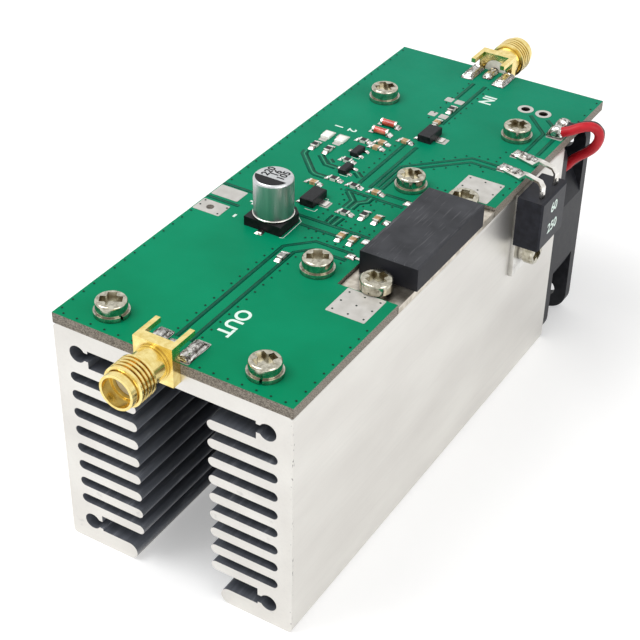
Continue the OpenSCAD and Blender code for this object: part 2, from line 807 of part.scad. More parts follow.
// Jack outline for turning: radius across, length out from the end of the board
module jack_outline() {
    neck_r = jack_neck_d / 2;
    root_r = thread_root_d / 2;
    rim_r = jack_rim_d / 2;
    difference() {
        union() {
            square([neck_r, jack_l - cut]);
            translate([0, jack_flange_t])
                square([rim_r, neck_ring_l]);
            translate([0, thread_start])
                square([root_r, thread_end - thread_start]);
            for (i = [0 : jack_ridges - 1])
                translate([0, thread_start + i * jack_pitch])
                    polygon([
                        [0, 0], [root_r, 0], [jack_thread_d / 2, flank_l],
                        [jack_thread_d / 2, flank_l + crest_l], [root_r, 2 * flank_l + crest_l],
                        [0, 2 * flank_l + crest_l]
                    ]);
            translate([0, rim_start])
                square([rim_r, jack_rim_l]);
        }
        translate([0, -cut])
            square([insulator_d / 2 + fit_gap, jack_l + 2 * cut]);
        translate([0, mouth_start])
            square([jack_mouth_d / 2, jack_mouth_depth + cut]);
    }
}

module jack_shell() {
    rotate_extrude()
        jack_outline();
    difference() {
        union() {
            translate([-jack_flange_w / 2, -jack_flange_h / 2, 0])
                cube([jack_flange_w, jack_flange_h, jack_flange_t]);
            for (s = [-1, 1])
                translate([s * (jack_flange_w - jack_leg_w) / 2 - jack_leg_w / 2,
                           jack_flange_h / 2 - jack_leg_w, -jack_leg_l])
                    cube([jack_leg_w, jack_leg_w, jack_leg_l + jack_flange_t]);
        }
        translate([0, 0, -cut])
            cylinder(r = insulator_d / 2 + fit_gap, h = jack_flange_t + 2 * cut);
    }
}

module jack_insulator() {
    difference() {
        cylinder(d = insulator_d, h = insulator_end);
        translate([0, 0, -cut])
            cylinder(r = contact_d / 2 + fit_gap, h = insulator_end + 2 * cut);
    }
}

module jack_contact() {
    tip = insulator_end + clear_gap;
    difference() {
        cylinder(d = contact_d, h = tip);
        translate([0, 0, tip / 2])
            cylinder(d = contact_bore_d, h = tip);
    }
    translate([-contact_d / 2 + hole_gap, -jack_rise, -contact_tail_l])
        cube([contact_d - 2 * hole_gap, contact_tail_t, contact_tail_l + clear_gap]);
}

// Carries a jack piece to the front end, or mirrored to the rear end
module at_output() {
    translate([jack_x, front_y, jack_z])
        rotate([90, 0, 0])
            children();
}

module at_input() {
    translate([jack_x, board_rear_y, jack_z])
        mirror([0, 1, 0])
            rotate([90, 0, 0])
                children();
}

module output_jack_shell() {
    color([0.83, 0.69, 0.4])
        at_output()
            jack_shell();
}

module output_jack_insulator() {
    color([0.93, 0.92, 0.88])
        at_output()
            jack_insulator();
}

module output_jack_contact() {
    color([0.85, 0.7, 0.36])
        at_output()
            jack_contact();
}

module input_jack_shell() {
    color([0.83, 0.69, 0.4])
        at_input()
            jack_shell();
}

module input_jack_insulator() {
    color([0.93, 0.92, 0.88])
        at_input()
            jack_insulator();
}

module input_jack_contact() {
    color([0.85, 0.7, 0.36])
        at_input()
            jack_contact();
}

module capacitor_can() {
    r = can_d / 2;
    color([0.8, 0.8, 0.8])
        translate([can_x, can_y, can_bottom])
            difference() {
                rotate_extrude() {
                    square([r - can_edge_r, can_top - can_bottom]);
                    square([r, can_top - can_bottom - can_edge_r]);
                    intersection() {
                        translate([r - can_edge_r, can_top - can_bottom - can_edge_r])
                            circle(can_edge_r);
                        square([can_d, can_h]);
                    }
                }
                translate([0, 0, -cut])
                    cylinder(r = r - can_wall, h = can_top - can_bottom - can_wall + cut);
            }
}

module capacitor_base() {
    b = base_w / 2;
    color([0.1, 0.1, 0.11])
        translate([can_x, can_y, board_top])
            difference() {
                linear_extrude(base_h)
                    polygon([
                        [-b, -b], [b, -b], [b, b - base_chamfer], [b - base_chamfer, b],
                        [base_chamfer - b, b], [-b, b - base_chamfer]
                    ]);
                translate([0, 0, can_bottom - board_top])
                    cylinder(r = can_d / 2 + fit_gap, h = base_h);
                translate([-can_lead_w / 2 - hole_gap, -base_w, -cut])
                    cube([can_lead_w + 2 * hole_gap, 2 * base_w, can_lead_t + fit_gap + cut]);
                for (s = [-1, 1])
                    translate([0, s * can_pin_y, -cut])
                        cylinder(d = can_pin_d + 2 * fit_gap, h = base_h + 2 * cut);
            }
}

module capacitor_terminals() {
    reach = base_w / 2 + can_lead_w;
    color([0.8, 0.79, 0.76])
        translate([can_x, can_y, board_top])
            for (s = [0, 1])
                mirror([0, s, 0]) {
                    translate([-can_lead_w / 2, can_pin_y - can_pin_d, 0])
                        cube([can_lead_w, reach - can_pin_y + can_pin_d, can_lead_t]);
                    translate([0, can_pin_y, 0])
                        cylinder(d = can_pin_d, h = seal_bottom + seal_t - board_top);
                }
}

module capacitor_seal() {
    color([0.14, 0.14, 0.14])
        translate([can_x, can_y, seal_bottom])
            difference() {
                cylinder(r = can_d / 2 - can_wall - fit_gap, h = seal_t);
                for (s = [-1, 1])
                    translate([0, s * can_pin_y, -cut])
                        cylinder(d = can_pin_d + 2 * fit_gap, h = seal_t + 2 * cut);
            }
}

module capacitor_winding() {
    bottom = seal_bottom + seal_t + hole_gap;
    color([0.76, 0.72, 0.62])
        translate([can_x, can_y, bottom])
            cylinder(r = can_d / 2 - can_wall - hole_gap, h = can_top - can_wall - hole_gap - bottom);
}

// Body and leads of the regulator and the driver: the leads point to -X and the heat tab to +X
module tab_body() {
    chamfered_block(tab_body_w, tab_body_l, tab_body_h, body_chamfer);
}

module tab_leads() {
    for (i = [-1 : 1])
        translate([-tab_body_w / 2 - small_lead_l, i * tab_lead_pitch - small_lead_w / 2, 0])
            cube([small_lead_l, small_lead_w, small_lead_t]);
    translate([tab_body_w / 2, -tab_w / 2, 0])
        cube([tab_l, tab_w, small_lead_t]);
}

module on_board(p) {
    translate([p.x, p.y, board_top])
        children();
}

module regulator_body() {
    color([0.13, 0.13, 0.13])
        on_board(regulator_place)
            tab_body();
}

module regulator_leads() {
    color([0.8, 0.79, 0.76])
        on_board(regulator_place)
            tab_leads();
}

module driver_body() {
    color([0.13, 0.13, 0.13])
        on_board(driver_place)
            tab_body();
}

module driver_leads() {
    color([0.8, 0.79, 0.76])
        on_board(driver_place)
            tab_leads();
}

module transistor_bodies() {
    color([0.13, 0.13, 0.13])
        for (p = sot_places)
            on_board(p)
                chamfered_block(sot_body_w, sot_body_l, sot_body_h, body_chamfer);
}

module transistor_leads() {
    color([0.8, 0.79, 0.76])
        for (p = sot_places)
            on_board(p) {
                sot_lead(-1, 0);
                sot_lead(1, -sot_lead_pitch / 2);
                sot_lead(1, sot_lead_pitch / 2);
            }
}

// One flat lead on one side of a small transistor
module sot_lead(side, y) {
    translate([side * (sot_body_w + small_lead_l) / 2 - small_lead_l / 2, y - small_lead_w / 2, 0])
        cube([small_lead_l, small_lead_w, small_lead_t]);
}

module diode_glass() {
    glass_l = diode_l - 2 * diode_end_l;
    color([0.55, 0.14, 0.06])
        for (p = diode_places)
            on_board(p)
                translate([0, 0, diode_d / 2])
                    bar_x(diode_d / 2 - thread_gap, -glass_l / 2, glass_l / 2);
}

module diode_ends() {
    color([0.82, 0.81, 0.78])
        for (p = diode_places, s = [-1, 1])
            on_board(p)
                translate([s * (diode_l - diode_end_l) / 2, 0, diode_d / 2])
                    bar_x(diode_d / 2, -diode_end_l / 2, diode_end_l / 2);
}

module indicator_lights() {
    color([0.95, 0.95, 0.9])
        for (p = led_places)
            on_board(p)
                rotate(p.z)
                    chamfered_block(led_l, led_w, led_h, body_chamfer);
}

// Middle of a chip part between its metal ends
module chip_body(p) {
    body_l = chip_l - 2 * chip_end_l;
    on_board(p)
        rotate(p.z)
            translate([-body_l / 2, -chip_w / 2, 0])
                cube([body_l, chip_w, chip_h]);
}

module chip_resistors() {
    color([0.12, 0.12, 0.12])
        for (p = resistor_places)
            chip_body(p);
}

module chip_capacitors() {
    color([0.72, 0.6, 0.46])
        for (p = ceramic_places)
            chip_body(p);
}

module chip_ends() {
    color([0.84, 0.83, 0.8])
        for (p = concat(resistor_places, ceramic_places), s = [-1, 1])
            on_board(p)
                rotate(p.z)
                    translate([s * (chip_l - chip_end_l) / 2 - chip_end_l / 2, -chip_w / 2, 0])
                        cube([chip_end_l, chip_w, chip_h]);
}

// Thermostat body: the back chamber holds the disc and the front chamber holds the contacts
module thermostat_body() {
    color([0.13, 0.14, 0.16])
        difference() {
            translate([thermo_x0, thermo_y, thermo_z])
                rotate([0, 90, 0])
                    chamfered_block(thermo_h, thermo_w, thermo_t, thermo_chamfer);
            chamber(thermo_x0 - cut, guide_x);
            chamber(guide_x + guide_t, thermo_x1 - thermo_wall);
            translate([0, thermo_y, thermo_z])
                bar_x(push_pin_d / 2 + run_gap, thermo_x0, thermo_x1 - thermo_wall);
            for (y = [lead_a_y, lead_b_y])
                translate([thermo_lead_x, y, thermo_z])
                    lead_slot();
        }
}

module chamber(x0, x1) {
    span([x0, thermo_y - chamber_w / 2, thermo_z - chamber_h / 2],
         [x1, thermo_y + chamber_w / 2, thermo_z + chamber_h / 2]);
}

module lead_slot() {
    half_t = thermo_lead_t / 2 + thread_gap;
    half_w = thermo_lead_w / 2 + thread_gap;
    span([-half_t, -half_w, 0], [half_t, half_w, thermo_h]);
}

module thermostat_tab() {
    tab_bottom = thermo_top - thermo_h - thermo_tab_l;
    color([0.78, 0.77, 0.74])
        difference() {
            span([side_x, thermo_y - thermo_tab_w / 2, tab_bottom],
                 [thermo_x0, thermo_y + thermo_tab_w / 2, thermo_top - thermo_chamfer]);
            translate([0, thermo_y, thermo_screw_z])
                bar_x(screw_d / 2 + hole_gap, side_x - cut, thermo_x0 + cut);
        }
}

module thermostat_screw() {
    color([0.74, 0.7, 0.62])
        translate([thermo_x0 + thermo_washer_t, thermo_y, thermo_screw_z])
            rotate([0, 90, 0])
                rotate(thermo_screw_turn)
                    pan_screw(screw_d, thermo_washer_t + thermo_tab_t + side_wall - fit_gap);
}

// Flat strip along a path of points, as an outline
function unit(v) = v / norm(v);
function left_of(v) = [-v.y, v.x];
function corner_shift(a, b, c) =
    let (u = left_of(unit(b - a)), w = left_of(unit(c - b)), m = unit(u + w)) m / (m * u);
function strip_shift(path, i) =
    i == 0 ? left_of(unit(path[1] - path[0]))
    : i == len(path) - 1 ? left_of(unit(path[i] - path[i - 1]))
    : corner_shift(path[i - 1], path[i], path[i + 1]);
function strip_outline(path, t) = concat(
    [for (i = [0 : len(path) - 1]) path[i] + strip_shift(path, i) * t / 2],
    [for (i = [len(path) - 1 : -1 : 0]) path[i] - strip_shift(path, i) * t / 2]
);

// Thermostat lead: up out of the body, then back and down to the board
module thermostat_lead(y) {
    board_edge = thermo_lead_x - side_x;
    top = thermo_lead_rise;
    foot = thermo_lead_t / 2;
    ramp_start = board_edge - lead_bend;
    ramp_end = board_edge + lead_bend;
    path = [
        [0, thermo_top - board_top], [0, top - lead_bend], [lead_bend, top],
        [ramp_start, top], [ramp_end, foot], [ramp_end + thermo_lead_foot, foot]
    ];
    translate([thermo_lead_x, y, board_top])
        rotate([90, 0, 180 - thermo_lead_skew])
            translate([0, 0, -thermo_lead_w / 2])
                linear_extrude(thermo_lead_w)
                    polygon(strip_outline(path, thermo_lead_t));
    span([lead_inner_x, y - thermo_lead_w / 2, thermo_z - arm_h / 2],
         [lead_inner_x + thermo_lead_t, y + thermo_lead_w / 2, board_top]);
}

module thermostat_leads() {
    color([0.8, 0.79, 0.75]) {
        thermostat_lead(lead_a_y);
        thermostat_lead(lead_b_y);
        translate([0, lead_a_y, thermo_z])
            bar_x(rivet_r, arm_x + arm_t + contact_gap, lead_inner_x + fit_gap);
    }
}

// Shallow dished disc, hollow towards the push pin
module thermostat_disc() {
    r = disc_d / 2;
    color([0.7, 0.66, 0.58])
        translate([thermo_x0 + thread_gap, thermo_y, thermo_z])
            rotate([0, 90, 0])
                rotate_extrude()
                    polygon([[0, 0], [r, disc_dish], [r, disc_dish + disc_t], [0, disc_t]]);
}

module thermostat_pin() {
    color([0.9, 0.88, 0.82])
        translate([0, thermo_y, thermo_z])
            bar_x(push_pin_d / 2, push_pin_x, arm_x);
}

module thermostat_arm() {
    color([0.8, 0.6, 0.36]) {
        span([arm_x, lead_a_y - arm_tip, thermo_z - arm_h / 2],
             [arm_x + arm_t, lead_b_y + arm_tip, thermo_z + arm_h / 2]);
        translate([0, lead_b_y, thermo_z])
            bar_x(button_d / 2, arm_x + arm_t / 2, arm_x + arm_t + button_t);
    }
}

module thermostat_contact() {
    color([0.82, 0.81, 0.78])
        translate([0, lead_b_y, thermo_z])
            bar_x(button_d / 2, lead_inner_x - button_t, lead_inner_x);
}

// Fan pieces are drawn with the fan's axis on +Z and its front on z = 0
module at_fan() {
    translate([0, rear_y, mid_z])
        rotate([-90, 0, 0])
            children();
}

module fan_frame() {
    color([0.13, 0.13, 0.14])
        at_fan()
            difference() {
                union() {
                    fan_flange();
                    translate([0, 0, fan_t - fan_flange_t])
                        fan_flange();
                    intersection() {
                        cylinder(r = shroud_r, h = fan_t);
                        translate([-side_x, -mid_z, 0])
                            cube([sink_w, sink_h, fan_t]);
                    }
                }
                translate([0, 0, -cut])
                    cylinder(r = duct_r, h = fan_t + 2 * cut);
                for (x = [-1, 1], y = [-1, 1])
                    translate([x * port_x, y * port_z, 0])
                        corner_cuts();
                for (route = [red_route, black_route])
                    lead_entry(route[len(route) - 1]);
            }
}

// Screw hole through both flanges, and the pocket between them for the screw's head
module corner_cuts() {
    translate([0, 0, -cut])
        cylinder(d = fan_hole_d, h = fan_t + 2 * cut);
    translate([0, 0, fan_flange_t])
        cylinder(r = screw_head_d / 2 + hole_gap, h = fan_t - 2 * fan_flange_t);
}

module fan_flange() {
    linear_extrude(fan_flange_t)
        round_rectangle(sink_w, sink_h, fan_corner_r);
}

// Base plate, struts and bearing tube that stand in the duct
module fan_motor_mount() {
    color([0.13, 0.13, 0.14])
        at_fan()
            difference() {
                union() {
                    translate([0, 0, base_front])
                        cylinder(r = hub_r, h = motor_base_t);
                    translate([0, 0, base_front])
                        cylinder(r = tube_r, h = tube_rear - base_front);
                    intersection() {
                        cylinder(r = duct_r - fit_gap, h = fan_t);
                        for (a = [45 : 90 : 315])
                            rotate(a)
                                translate([0, -strut_w / 2, base_front])
                                    cube([shroud_r, strut_w, motor_base_t]);
                    }
                }
                translate([0, 0, base_rear])
                    cylinder(r = bearing_d / 2 + fit_gap, h = fan_t);
                translate([0, 0, -cut])
                    cylinder(r = bearing_d / 2 - clear_gap, h = fan_t);
            }
}

// Radial hole in the shroud for the end of a lead
module lead_entry(p) {
    place = [p.x, mid_z - p.z, p.y - rear_y];
    translate(place)
        rotate([0, 90, atan2(place.y, place.x)])
            translate([0, 0, -clear_gap])
                cylinder(r = lead_d / 2 + lead_hole_gap, h = side_x);
}

module fan_screws() {
    color([0.7, 0.68, 0.64])
        at_fan()
            for (x = [-1, 1], y = [-1, 1])
                translate([x * port_x, y * port_z, fan_flange_t])
                    pan_screw(2 * fan_screw_r, fan_screw_l);
}

module fan_bearing() {
    color([0.7, 0.5, 0.3])
        at_fan()
            translate([0, 0, bearing_front])
                difference() {
                    cylinder(d = bearing_d, h = tube_rear - bearing_front);
                    translate([0, 0, -cut])
                        cylinder(r = shaft_d / 2 + run_gap, h = fan_t);
                }
}

module fan_driver_board() {
    color([0.1, 0.4, 0.25])
        at_fan()
            translate([0, 0, base_rear])
                difference() {
                    cylinder(r = stator_r, h = driver_board_t);
                    translate([0, 0, -cut])
                        cylinder(r = tube_r + run_gap, h = fan_t);
                }
}

// Four-pole stator core
module fan_stator() {
    color([0.55, 0.55, 0.57])
        at_fan()
            translate([0, 0, stator_front])
                difference() {
                    union() {
                        cylinder(r = core_r, h = stator_t);
                        intersection() {
                            cylinder(r = stator_r, h = stator_t);
                            for (a = [0 : 90 : 270])
                                rotate(a)
                                    pole();
                        }
                    }
                    translate([0, 0, -cut])
                        cylinder(r = tube_r + run_gap, h = fan_t);
                }
}

// One pole with its wide tip, along +X
module pole() {
    translate([0, -pole_w / 2, 0])
        cube([stator_r, pole_w, stator_t]);
    translate([stator_r - pole_tip_t, -pole_w, 0])
        cube([pole_tip_t, 2 * pole_w, stator_t]);
}

module fan_coils() {
    inner_w = pole_w + 2 * thread_gap;
    coil_start = core_r + hole_gap;
    coil_l = stator_r - pole_tip_t - hole_gap - coil_start;
    color([0.72, 0.38, 0.16])
        at_fan()
            for (a = [0 : 90 : 270])
                rotate(a)
                    difference() {
                        translate([coil_start, -inner_w / 2 - coil_t, stator_front - coil_t])
                            cube([coil_l, inner_w + 2 * coil_t, stator_t + 2 * coil_t]);
                        translate([0, -inner_w / 2, stator_front - thread_gap])
                            cube([stator_r, inner_w, stator_t + 2 * thread_gap]);
                    }
}

// Hub cup with cambered blades
module fan_impeller() {
    color([0.12, 0.12, 0.13])
        at_fan() {
            difference() {
                union() {
                    translate([0, 0, hub_front])
                        cylinder(r = hub_r, h = hub_rear - hub_front);
                    for (i = [0 : blade_count - 1])
                        rotate(i * 360 / blade_count)
                            blade();
                }
                difference() {
                    translate([0, 0, hub_front - cut])
                        cylinder(r = hub_r - hub_wall, h = hub_floor - hub_front + cut);
                    translate([0, 0, hub_floor - boss_l])
                        cylinder(r = shaft_d, h = fan_t);
                }
                translate([0, 0, hub_floor - boss_l - cut])
                    cylinder(r = shaft_d / 2 + fit_gap, h = boss_l + cut);
            }
        }
}

// One blade along +X: a slice of a tube whose axis points along X
module blade() {
    rise = blade_rear - blade_front;
    chord = norm([blade_sweep, rise]);
    back_off = sqrt(blade_camber_r * blade_camber_r - chord * chord / 4);
    centre = [-rise, blade_sweep] * back_off / chord;
    intersection() {
        difference() {
            translate([0, 0, blade_front])
                cylinder(r = tip_r, h = rise);
            translate([0, 0, blade_front - cut])
                cylinder(r = hub_r - hub_wall / 2, h = rise + 2 * cut);
        }
        translate([0, -blade_sweep / 2, blade_front])
            cube([tip_r, blade_sweep, rise]);
        translate([0, centre.x, (blade_front + blade_rear) / 2 + centre.y])
            difference() {
                bar_x(blade_camber_r, 0, tip_r);
                bar_x(blade_camber_r - blade_t, -cut, tip_r + cut);
            }
    }
}

module fan_shaft() {
    color([0.8, 0.8, 0.8])
        at_fan()
            difference() {
                translate([0, 0, shaft_front])
                    cylinder(d = shaft_d, h = hub_floor - shaft_front);
                translate([0, 0, clip_front])
                    difference() {
                        cylinder(d = 2 * shaft_d, h = clip_t + 2 * thread_gap);
                        translate([0, 0, -cut])
                            cylinder(r = shaft_d / 2 - groove_depth, h = fan_t);
                    }
            }
}

module fan_yoke() {
    color([0.6, 0.6, 0.62])
        at_fan()
            rotor_ring(yoke_r, yoke_t);
}

module fan_magnet() {
    color([0.25, 0.24, 0.24])
        at_fan()
            rotor_ring(magnet_r, magnet_t);
}

// Ring inside the hub cup, from its floor to near its open edge
module rotor_ring(r, t) {
    translate([0, 0, hub_front + clear_gap])
        difference() {
            cylinder(r = r, h = hub_floor - hub_front - clear_gap);
            translate([0, 0, -cut])
                cylinder(r = r - t, h = fan_t);
        }
}

// Split clip in the groove near the end of the shaft
module fan_clip() {
    color([0.75, 0.75, 0.75])
        at_fan()
            translate([0, 0, clip_front + thread_gap])
                difference() {
                    cylinder(d = clip_d, h = clip_t);
                    translate([0, 0, -cut])
                        cylinder(r = shaft_d / 2 - groove_depth + fit_gap, h = fan_t);
                    span([0, -clip_mouth / 2, -cut], [clip_d, clip_mouth / 2, fan_t]);
                }
}

// Round lead swept along its route
function ring_points(route, i) =
    let (
        a = route[max(i - 1, 0)],
        b = route[min(i + 1, len(route) - 1)],
        side = unit(cross([0, 1, 0], b - a)),
        up = unit(cross(b - a, side))
    )
    [for (k = [0 : lead_sides - 1])
        let (angle = k * 360 / lead_sides)
        route[i] + lead_d / 2 * (cos(angle) * side + sin(angle) * up)];

module lead_tube(route) {
    rings = len(route);
    last = (rings - 1) * lead_sides;
    points = [for (i = [0 : rings - 1]) each ring_points(route, i)];
    sides = [for (i = [0 : rings - 2], k = [0 : lead_sides - 1], half = [0, 1])
        let (
            here = i * lead_sides + k,
            next = i * lead_sides + (k + 1) % lead_sides
        )
        half == 0 ? [here, here + lead_sides, next] : [next, here + lead_sides, next + lead_sides]];
    start_cap = [for (k = [1 : lead_sides - 2]) [0, k, k + 1]];
    end_cap = [for (k = [1 : lead_sides - 2]) [last, last + k + 1, last + k]];
    polyhedron(points, concat(sides, start_cap, end_cap));
}

module fan_lead_red() {
    color([0.75, 0.1, 0.08])
        lead_tube(red_route);
}

module fan_lead_black() {
    color([0.07, 0.07, 0.08])
        lead_tube(black_route);
}

heatsink();
board();
board_screws();
spring_washers();
module_flange();
module_substrate();
module_dies();
module_leads();
module_cap();
module_screws();
output_jack_shell();
output_jack_insulator();
output_jack_contact();
input_jack_shell();
input_jack_insulator();
input_jack_contact();
capacitor_can();
capacitor_base();
capacitor_terminals();
capacitor_seal();
capacitor_winding();
regulator_body();
regulator_leads();
driver_body();
driver_leads();
transistor_bodies();
transistor_leads();
diode_glass();
diode_ends();
indicator_lights();
chip_resistors();
chip_capacitors();
chip_ends();
thermostat_body();
thermostat_tab();
thermostat_screw();
thermostat_leads();
thermostat_disc();
thermostat_pin();
thermostat_arm();
thermostat_contact();
fan_frame();
fan_motor_mount();
fan_screws();
fan_bearing();
fan_driver_board();
fan_stator();
fan_coils();
fan_impeller();
fan_shaft();
fan_yoke();
fan_magnet();
fan_clip();
fan_lead_red();
fan_lead_black();
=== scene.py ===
"""Dressed scene of a VHF power amplifier: camera, light, fan leads, board details and finishes."""
import math

import bpy
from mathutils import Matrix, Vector


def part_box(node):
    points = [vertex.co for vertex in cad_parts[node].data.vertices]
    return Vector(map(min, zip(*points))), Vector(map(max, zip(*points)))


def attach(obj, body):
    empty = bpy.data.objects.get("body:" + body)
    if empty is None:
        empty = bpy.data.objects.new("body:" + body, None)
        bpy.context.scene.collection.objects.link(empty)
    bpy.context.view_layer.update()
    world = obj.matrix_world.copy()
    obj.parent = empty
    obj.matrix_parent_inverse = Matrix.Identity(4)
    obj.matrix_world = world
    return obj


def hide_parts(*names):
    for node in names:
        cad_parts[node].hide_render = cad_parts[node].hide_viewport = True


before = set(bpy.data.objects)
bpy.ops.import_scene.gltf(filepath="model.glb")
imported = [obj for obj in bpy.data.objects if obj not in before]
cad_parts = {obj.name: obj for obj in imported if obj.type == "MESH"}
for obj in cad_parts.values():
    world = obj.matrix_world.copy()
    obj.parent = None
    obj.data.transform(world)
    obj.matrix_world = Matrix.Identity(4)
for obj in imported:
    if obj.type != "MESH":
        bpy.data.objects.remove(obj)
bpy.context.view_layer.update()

MM = 0.001
DULL = [("Specular IOR Level", 0.2)]
BODY = "amplifier"
board_low, board_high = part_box("board")
BOARD_TOP = board_high.z / MM
BOARD_FRONT = board_low.y / MM
BOARD_REAR = board_high.y / MM
BOARD_SIDE = board_high.x / MM


def metres(*lengths):
    """Millimetres as metres."""
    return tuple(length * MM for length in lengths)


def paint(red, green, blue):
    """Linear colour of an 8-bit screen colour."""
    def linear(level):
        share = level / 255
        return share / 12.92 if share <= 0.04045 else ((share + 0.055) / 1.055) ** 2.4
    return (linear(red), linear(green), linear(blue), 1.0)


# Camera at the photograph's place
CAMERA_PLACE = (0.0998592, -0.1713224, 0.1640176)
CAMERA_TURN = (54.3982, -0.9756, 31.4262)
CAMERA_LENS = 84.63766

camera_data = bpy.data.cameras.new("photo_camera")
camera_data.lens = CAMERA_LENS
camera_data.clip_start = 0.01
camera = bpy.data.objects.new("photo_camera", camera_data)
camera.location = CAMERA_PLACE
camera.rotation_euler = [math.radians(angle) for angle in CAMERA_TURN]
bpy.context.collection.objects.link(camera)
bpy.context.scene.camera = camera


# Node helpers for the finishes

def new_finish(name, rough, metal=0.0, sockets=()):
    """A material with its shader, and a socket with the piece's own coordinates."""
    material = bpy.data.materials.new(name)
    material.use_nodes = True
    tree = material.node_tree
    shader = tree.nodes["Principled BSDF"]
    shader.inputs["Roughness"].default_value = rough
    shader.inputs["Metallic"].default_value = metal
    for socket, value in sockets:
        shader.inputs[socket].default_value = value
    coordinates = tree.nodes.new("ShaderNodeTexCoord")
    return material, tree, shader, coordinates


def noise(tree, place, grain_mm, stretch=(1, 1, 1), detail=4.0, turn=(0, 0, 0)):
    """Cloudy noise with grains of about that size, drawn out along the axes with a small stretch."""
    mapping = tree.nodes.new("ShaderNodeMapping")
    mapping.inputs["Scale"].default_value = stretch
    mapping.inputs["Rotation"].default_value = [math.radians(angle) for angle in turn]
    texture = tree.nodes.new("ShaderNodeTexNoise")
    texture.inputs["Scale"].default_value = 1 / (grain_mm * MM)
    texture.inputs["Detail"].default_value = detail
    tree.links.new(place, mapping.inputs["Vector"])
    tree.links.new(mapping.outputs["Vector"], texture.inputs["Vector"])
    return texture.outputs["Fac"]


def bands(tree, value, stops):
    """Colour by a value, through the stops (place, colour)."""
    ramp = tree.nodes.new("ShaderNodeValToRGB")
    elements = ramp.color_ramp.elements
    while len(elements) < len(stops):
        elements.new(0.5)
    for element, (position, colour) in zip(elements, stops):
        element.position = position
        element.color = colour
    tree.links.new(value, ramp.inputs["Fac"])
    return ramp.outputs["Color"]


def grey(level):
    """Linear grey of a level from 0 to 1."""
    return (level, level, level, 1.0)


def mixed(tree, share, low, high):
    """Colour that goes from low to high with a share; low and high are sockets or colours."""
    mix = tree.nodes.new("ShaderNodeMix")
    mix.data_type = "RGBA"
    tree.links.new(share, mix.inputs["Factor"])
    colour_a, colour_b = [s for s in mix.inputs if s.type == "RGBA"]
    for value, socket in ((low, colour_a), (high, colour_b)):
        if isinstance(value, tuple):
            socket.default_value = value
        else:
            tree.links.new(value, socket)
    return [s for s in mix.outputs if s.type == "RGBA"][0]


def spread_range(tree, value, low, high):
    """A value from 0 to 1 carried to the range low to high."""
    node = tree.nodes.new("ShaderNodeMapRange")
    node.inputs["To Min"].default_value = low
    node.inputs["To Max"].default_value = high
    tree.links.new(value, node.inputs["Value"])
    return node.outputs["Result"]


def bump(tree, shader, value, strength, depth_mm):
    """Fine relief of that depth from a value."""
    node = tree.nodes.new("ShaderNodeBump")
    node.inputs["Strength"].default_value = strength
    node.inputs["Distance"].default_value = depth_mm * MM
    tree.links.new(value, node.inputs["Height"])
    tree.links.new(node.outputs["Normal"], shader.inputs["Normal"])


UPWARD = 0.7


def facing_up(tree, coordinates):
    """1 on faces that look up, 0 on the sides."""
    parts = tree.nodes.new("ShaderNodeSeparateXYZ")
    tree.links.new(coordinates.outputs["Normal"], parts.inputs["Vector"])
    step = tree.nodes.new("ShaderNodeMath")
    step.operation = "GREATER_THAN"
    step.inputs[1].default_value = UPWARD
    tree.links.new(parts.outputs["Z"], step.inputs[0])
    return step.outputs["Value"]


SHELTER_RAYS = 8


def sheltered(tree, reach_mm, open_at=0.85, deep_at=0.25, own=False):
    """A share for painted shade: 1 deep in crevices and 0 on open faces, seen past all pieces or only
    past its own.
    """
    node = tree.nodes.new("ShaderNodeAmbientOcclusion")
    node.samples = SHELTER_RAYS
    node.only_local = own
    node.inputs["Distance"].default_value = reach_mm * MM
    share = tree.nodes.new("ShaderNodeMapRange")
    share.inputs["From Min"].default_value = open_at
    share.inputs["From Max"].default_value = deep_at
    tree.links.new(node.outputs["AO"], share.inputs["Value"])
    return share.outputs["Result"]


def product(tree, first, second):
    """Two shares multiplied."""
    node = tree.nodes.new("ShaderNodeMath")
    node.operation = "MULTIPLY"
    tree.links.new(first, node.inputs[0])
    tree.links.new(second, node.inputs[1])
    return node.outputs["Value"]


def near_plane(tree, coordinate, level_mm, reach_mm):
    """1 where a coordinate lies within reach of a level, 0 elsewhere."""
    node = tree.nodes.new("ShaderNodeMath")
    node.operation = "COMPARE"
    node.inputs[1].default_value = level_mm * MM
    node.inputs[2].default_value = reach_mm * MM
    tree.links.new(coordinate, node.inputs[0])
    return node.outputs["Value"]


FINE_GRAIN = 8


def mottled(name, light, dark, rough, metal=0.0, grain_mm=1.5, spread=0.12, bump_mm=0.0,
            stretch=(1, 1, 1), sockets=(), painted_crevice_shade=None):
    """A plain finish with cloudy colour, uneven gloss and, if asked, a fine grain and painted shade in
    its crevices.
    """
    material, tree, shader, coordinates = new_finish(name, rough=rough, metal=metal, sockets=sockets)
    place = coordinates.outputs["Object"]
    cloud = noise(tree, place, grain_mm, stretch=stretch)
    colour = bands(tree, cloud, [(0.35, dark), (0.65, light)])
    # Painted shade: the colour darkens towards the given shade colour in sheltered hollows.
    if painted_crevice_shade:
        shade, reach_mm = painted_crevice_shade
        colour = mixed(tree, sheltered(tree, reach_mm), colour, shade)
    tree.links.new(colour, shader.inputs["Base Color"])
    tree.links.new(spread_range(tree, cloud, rough - spread, rough + spread),
                   shader.inputs["Roughness"])
    if bump_mm:
        bump(tree, shader, noise(tree, place, grain_mm / FINE_GRAIN, stretch=stretch), strength=0.5,
             depth_mm=bump_mm)
    return material


def towards_rear(tree, place, start=BOARD_FRONT, end=BOARD_REAR):
    """0 in front of a line across the board and 1 behind a second line."""
    axes = tree.nodes.new("ShaderNodeSeparateXYZ")
    tree.links.new(place, axes.inputs["Vector"])
    share = tree.nodes.new("ShaderNodeMapRange")
    share.inputs["From Min"].default_value = start * MM
    share.inputs["From Max"].default_value = end * MM
    tree.links.new(axes.outputs["Y"], share.inputs["Value"])
    return share.outputs["Result"]


# Finishes

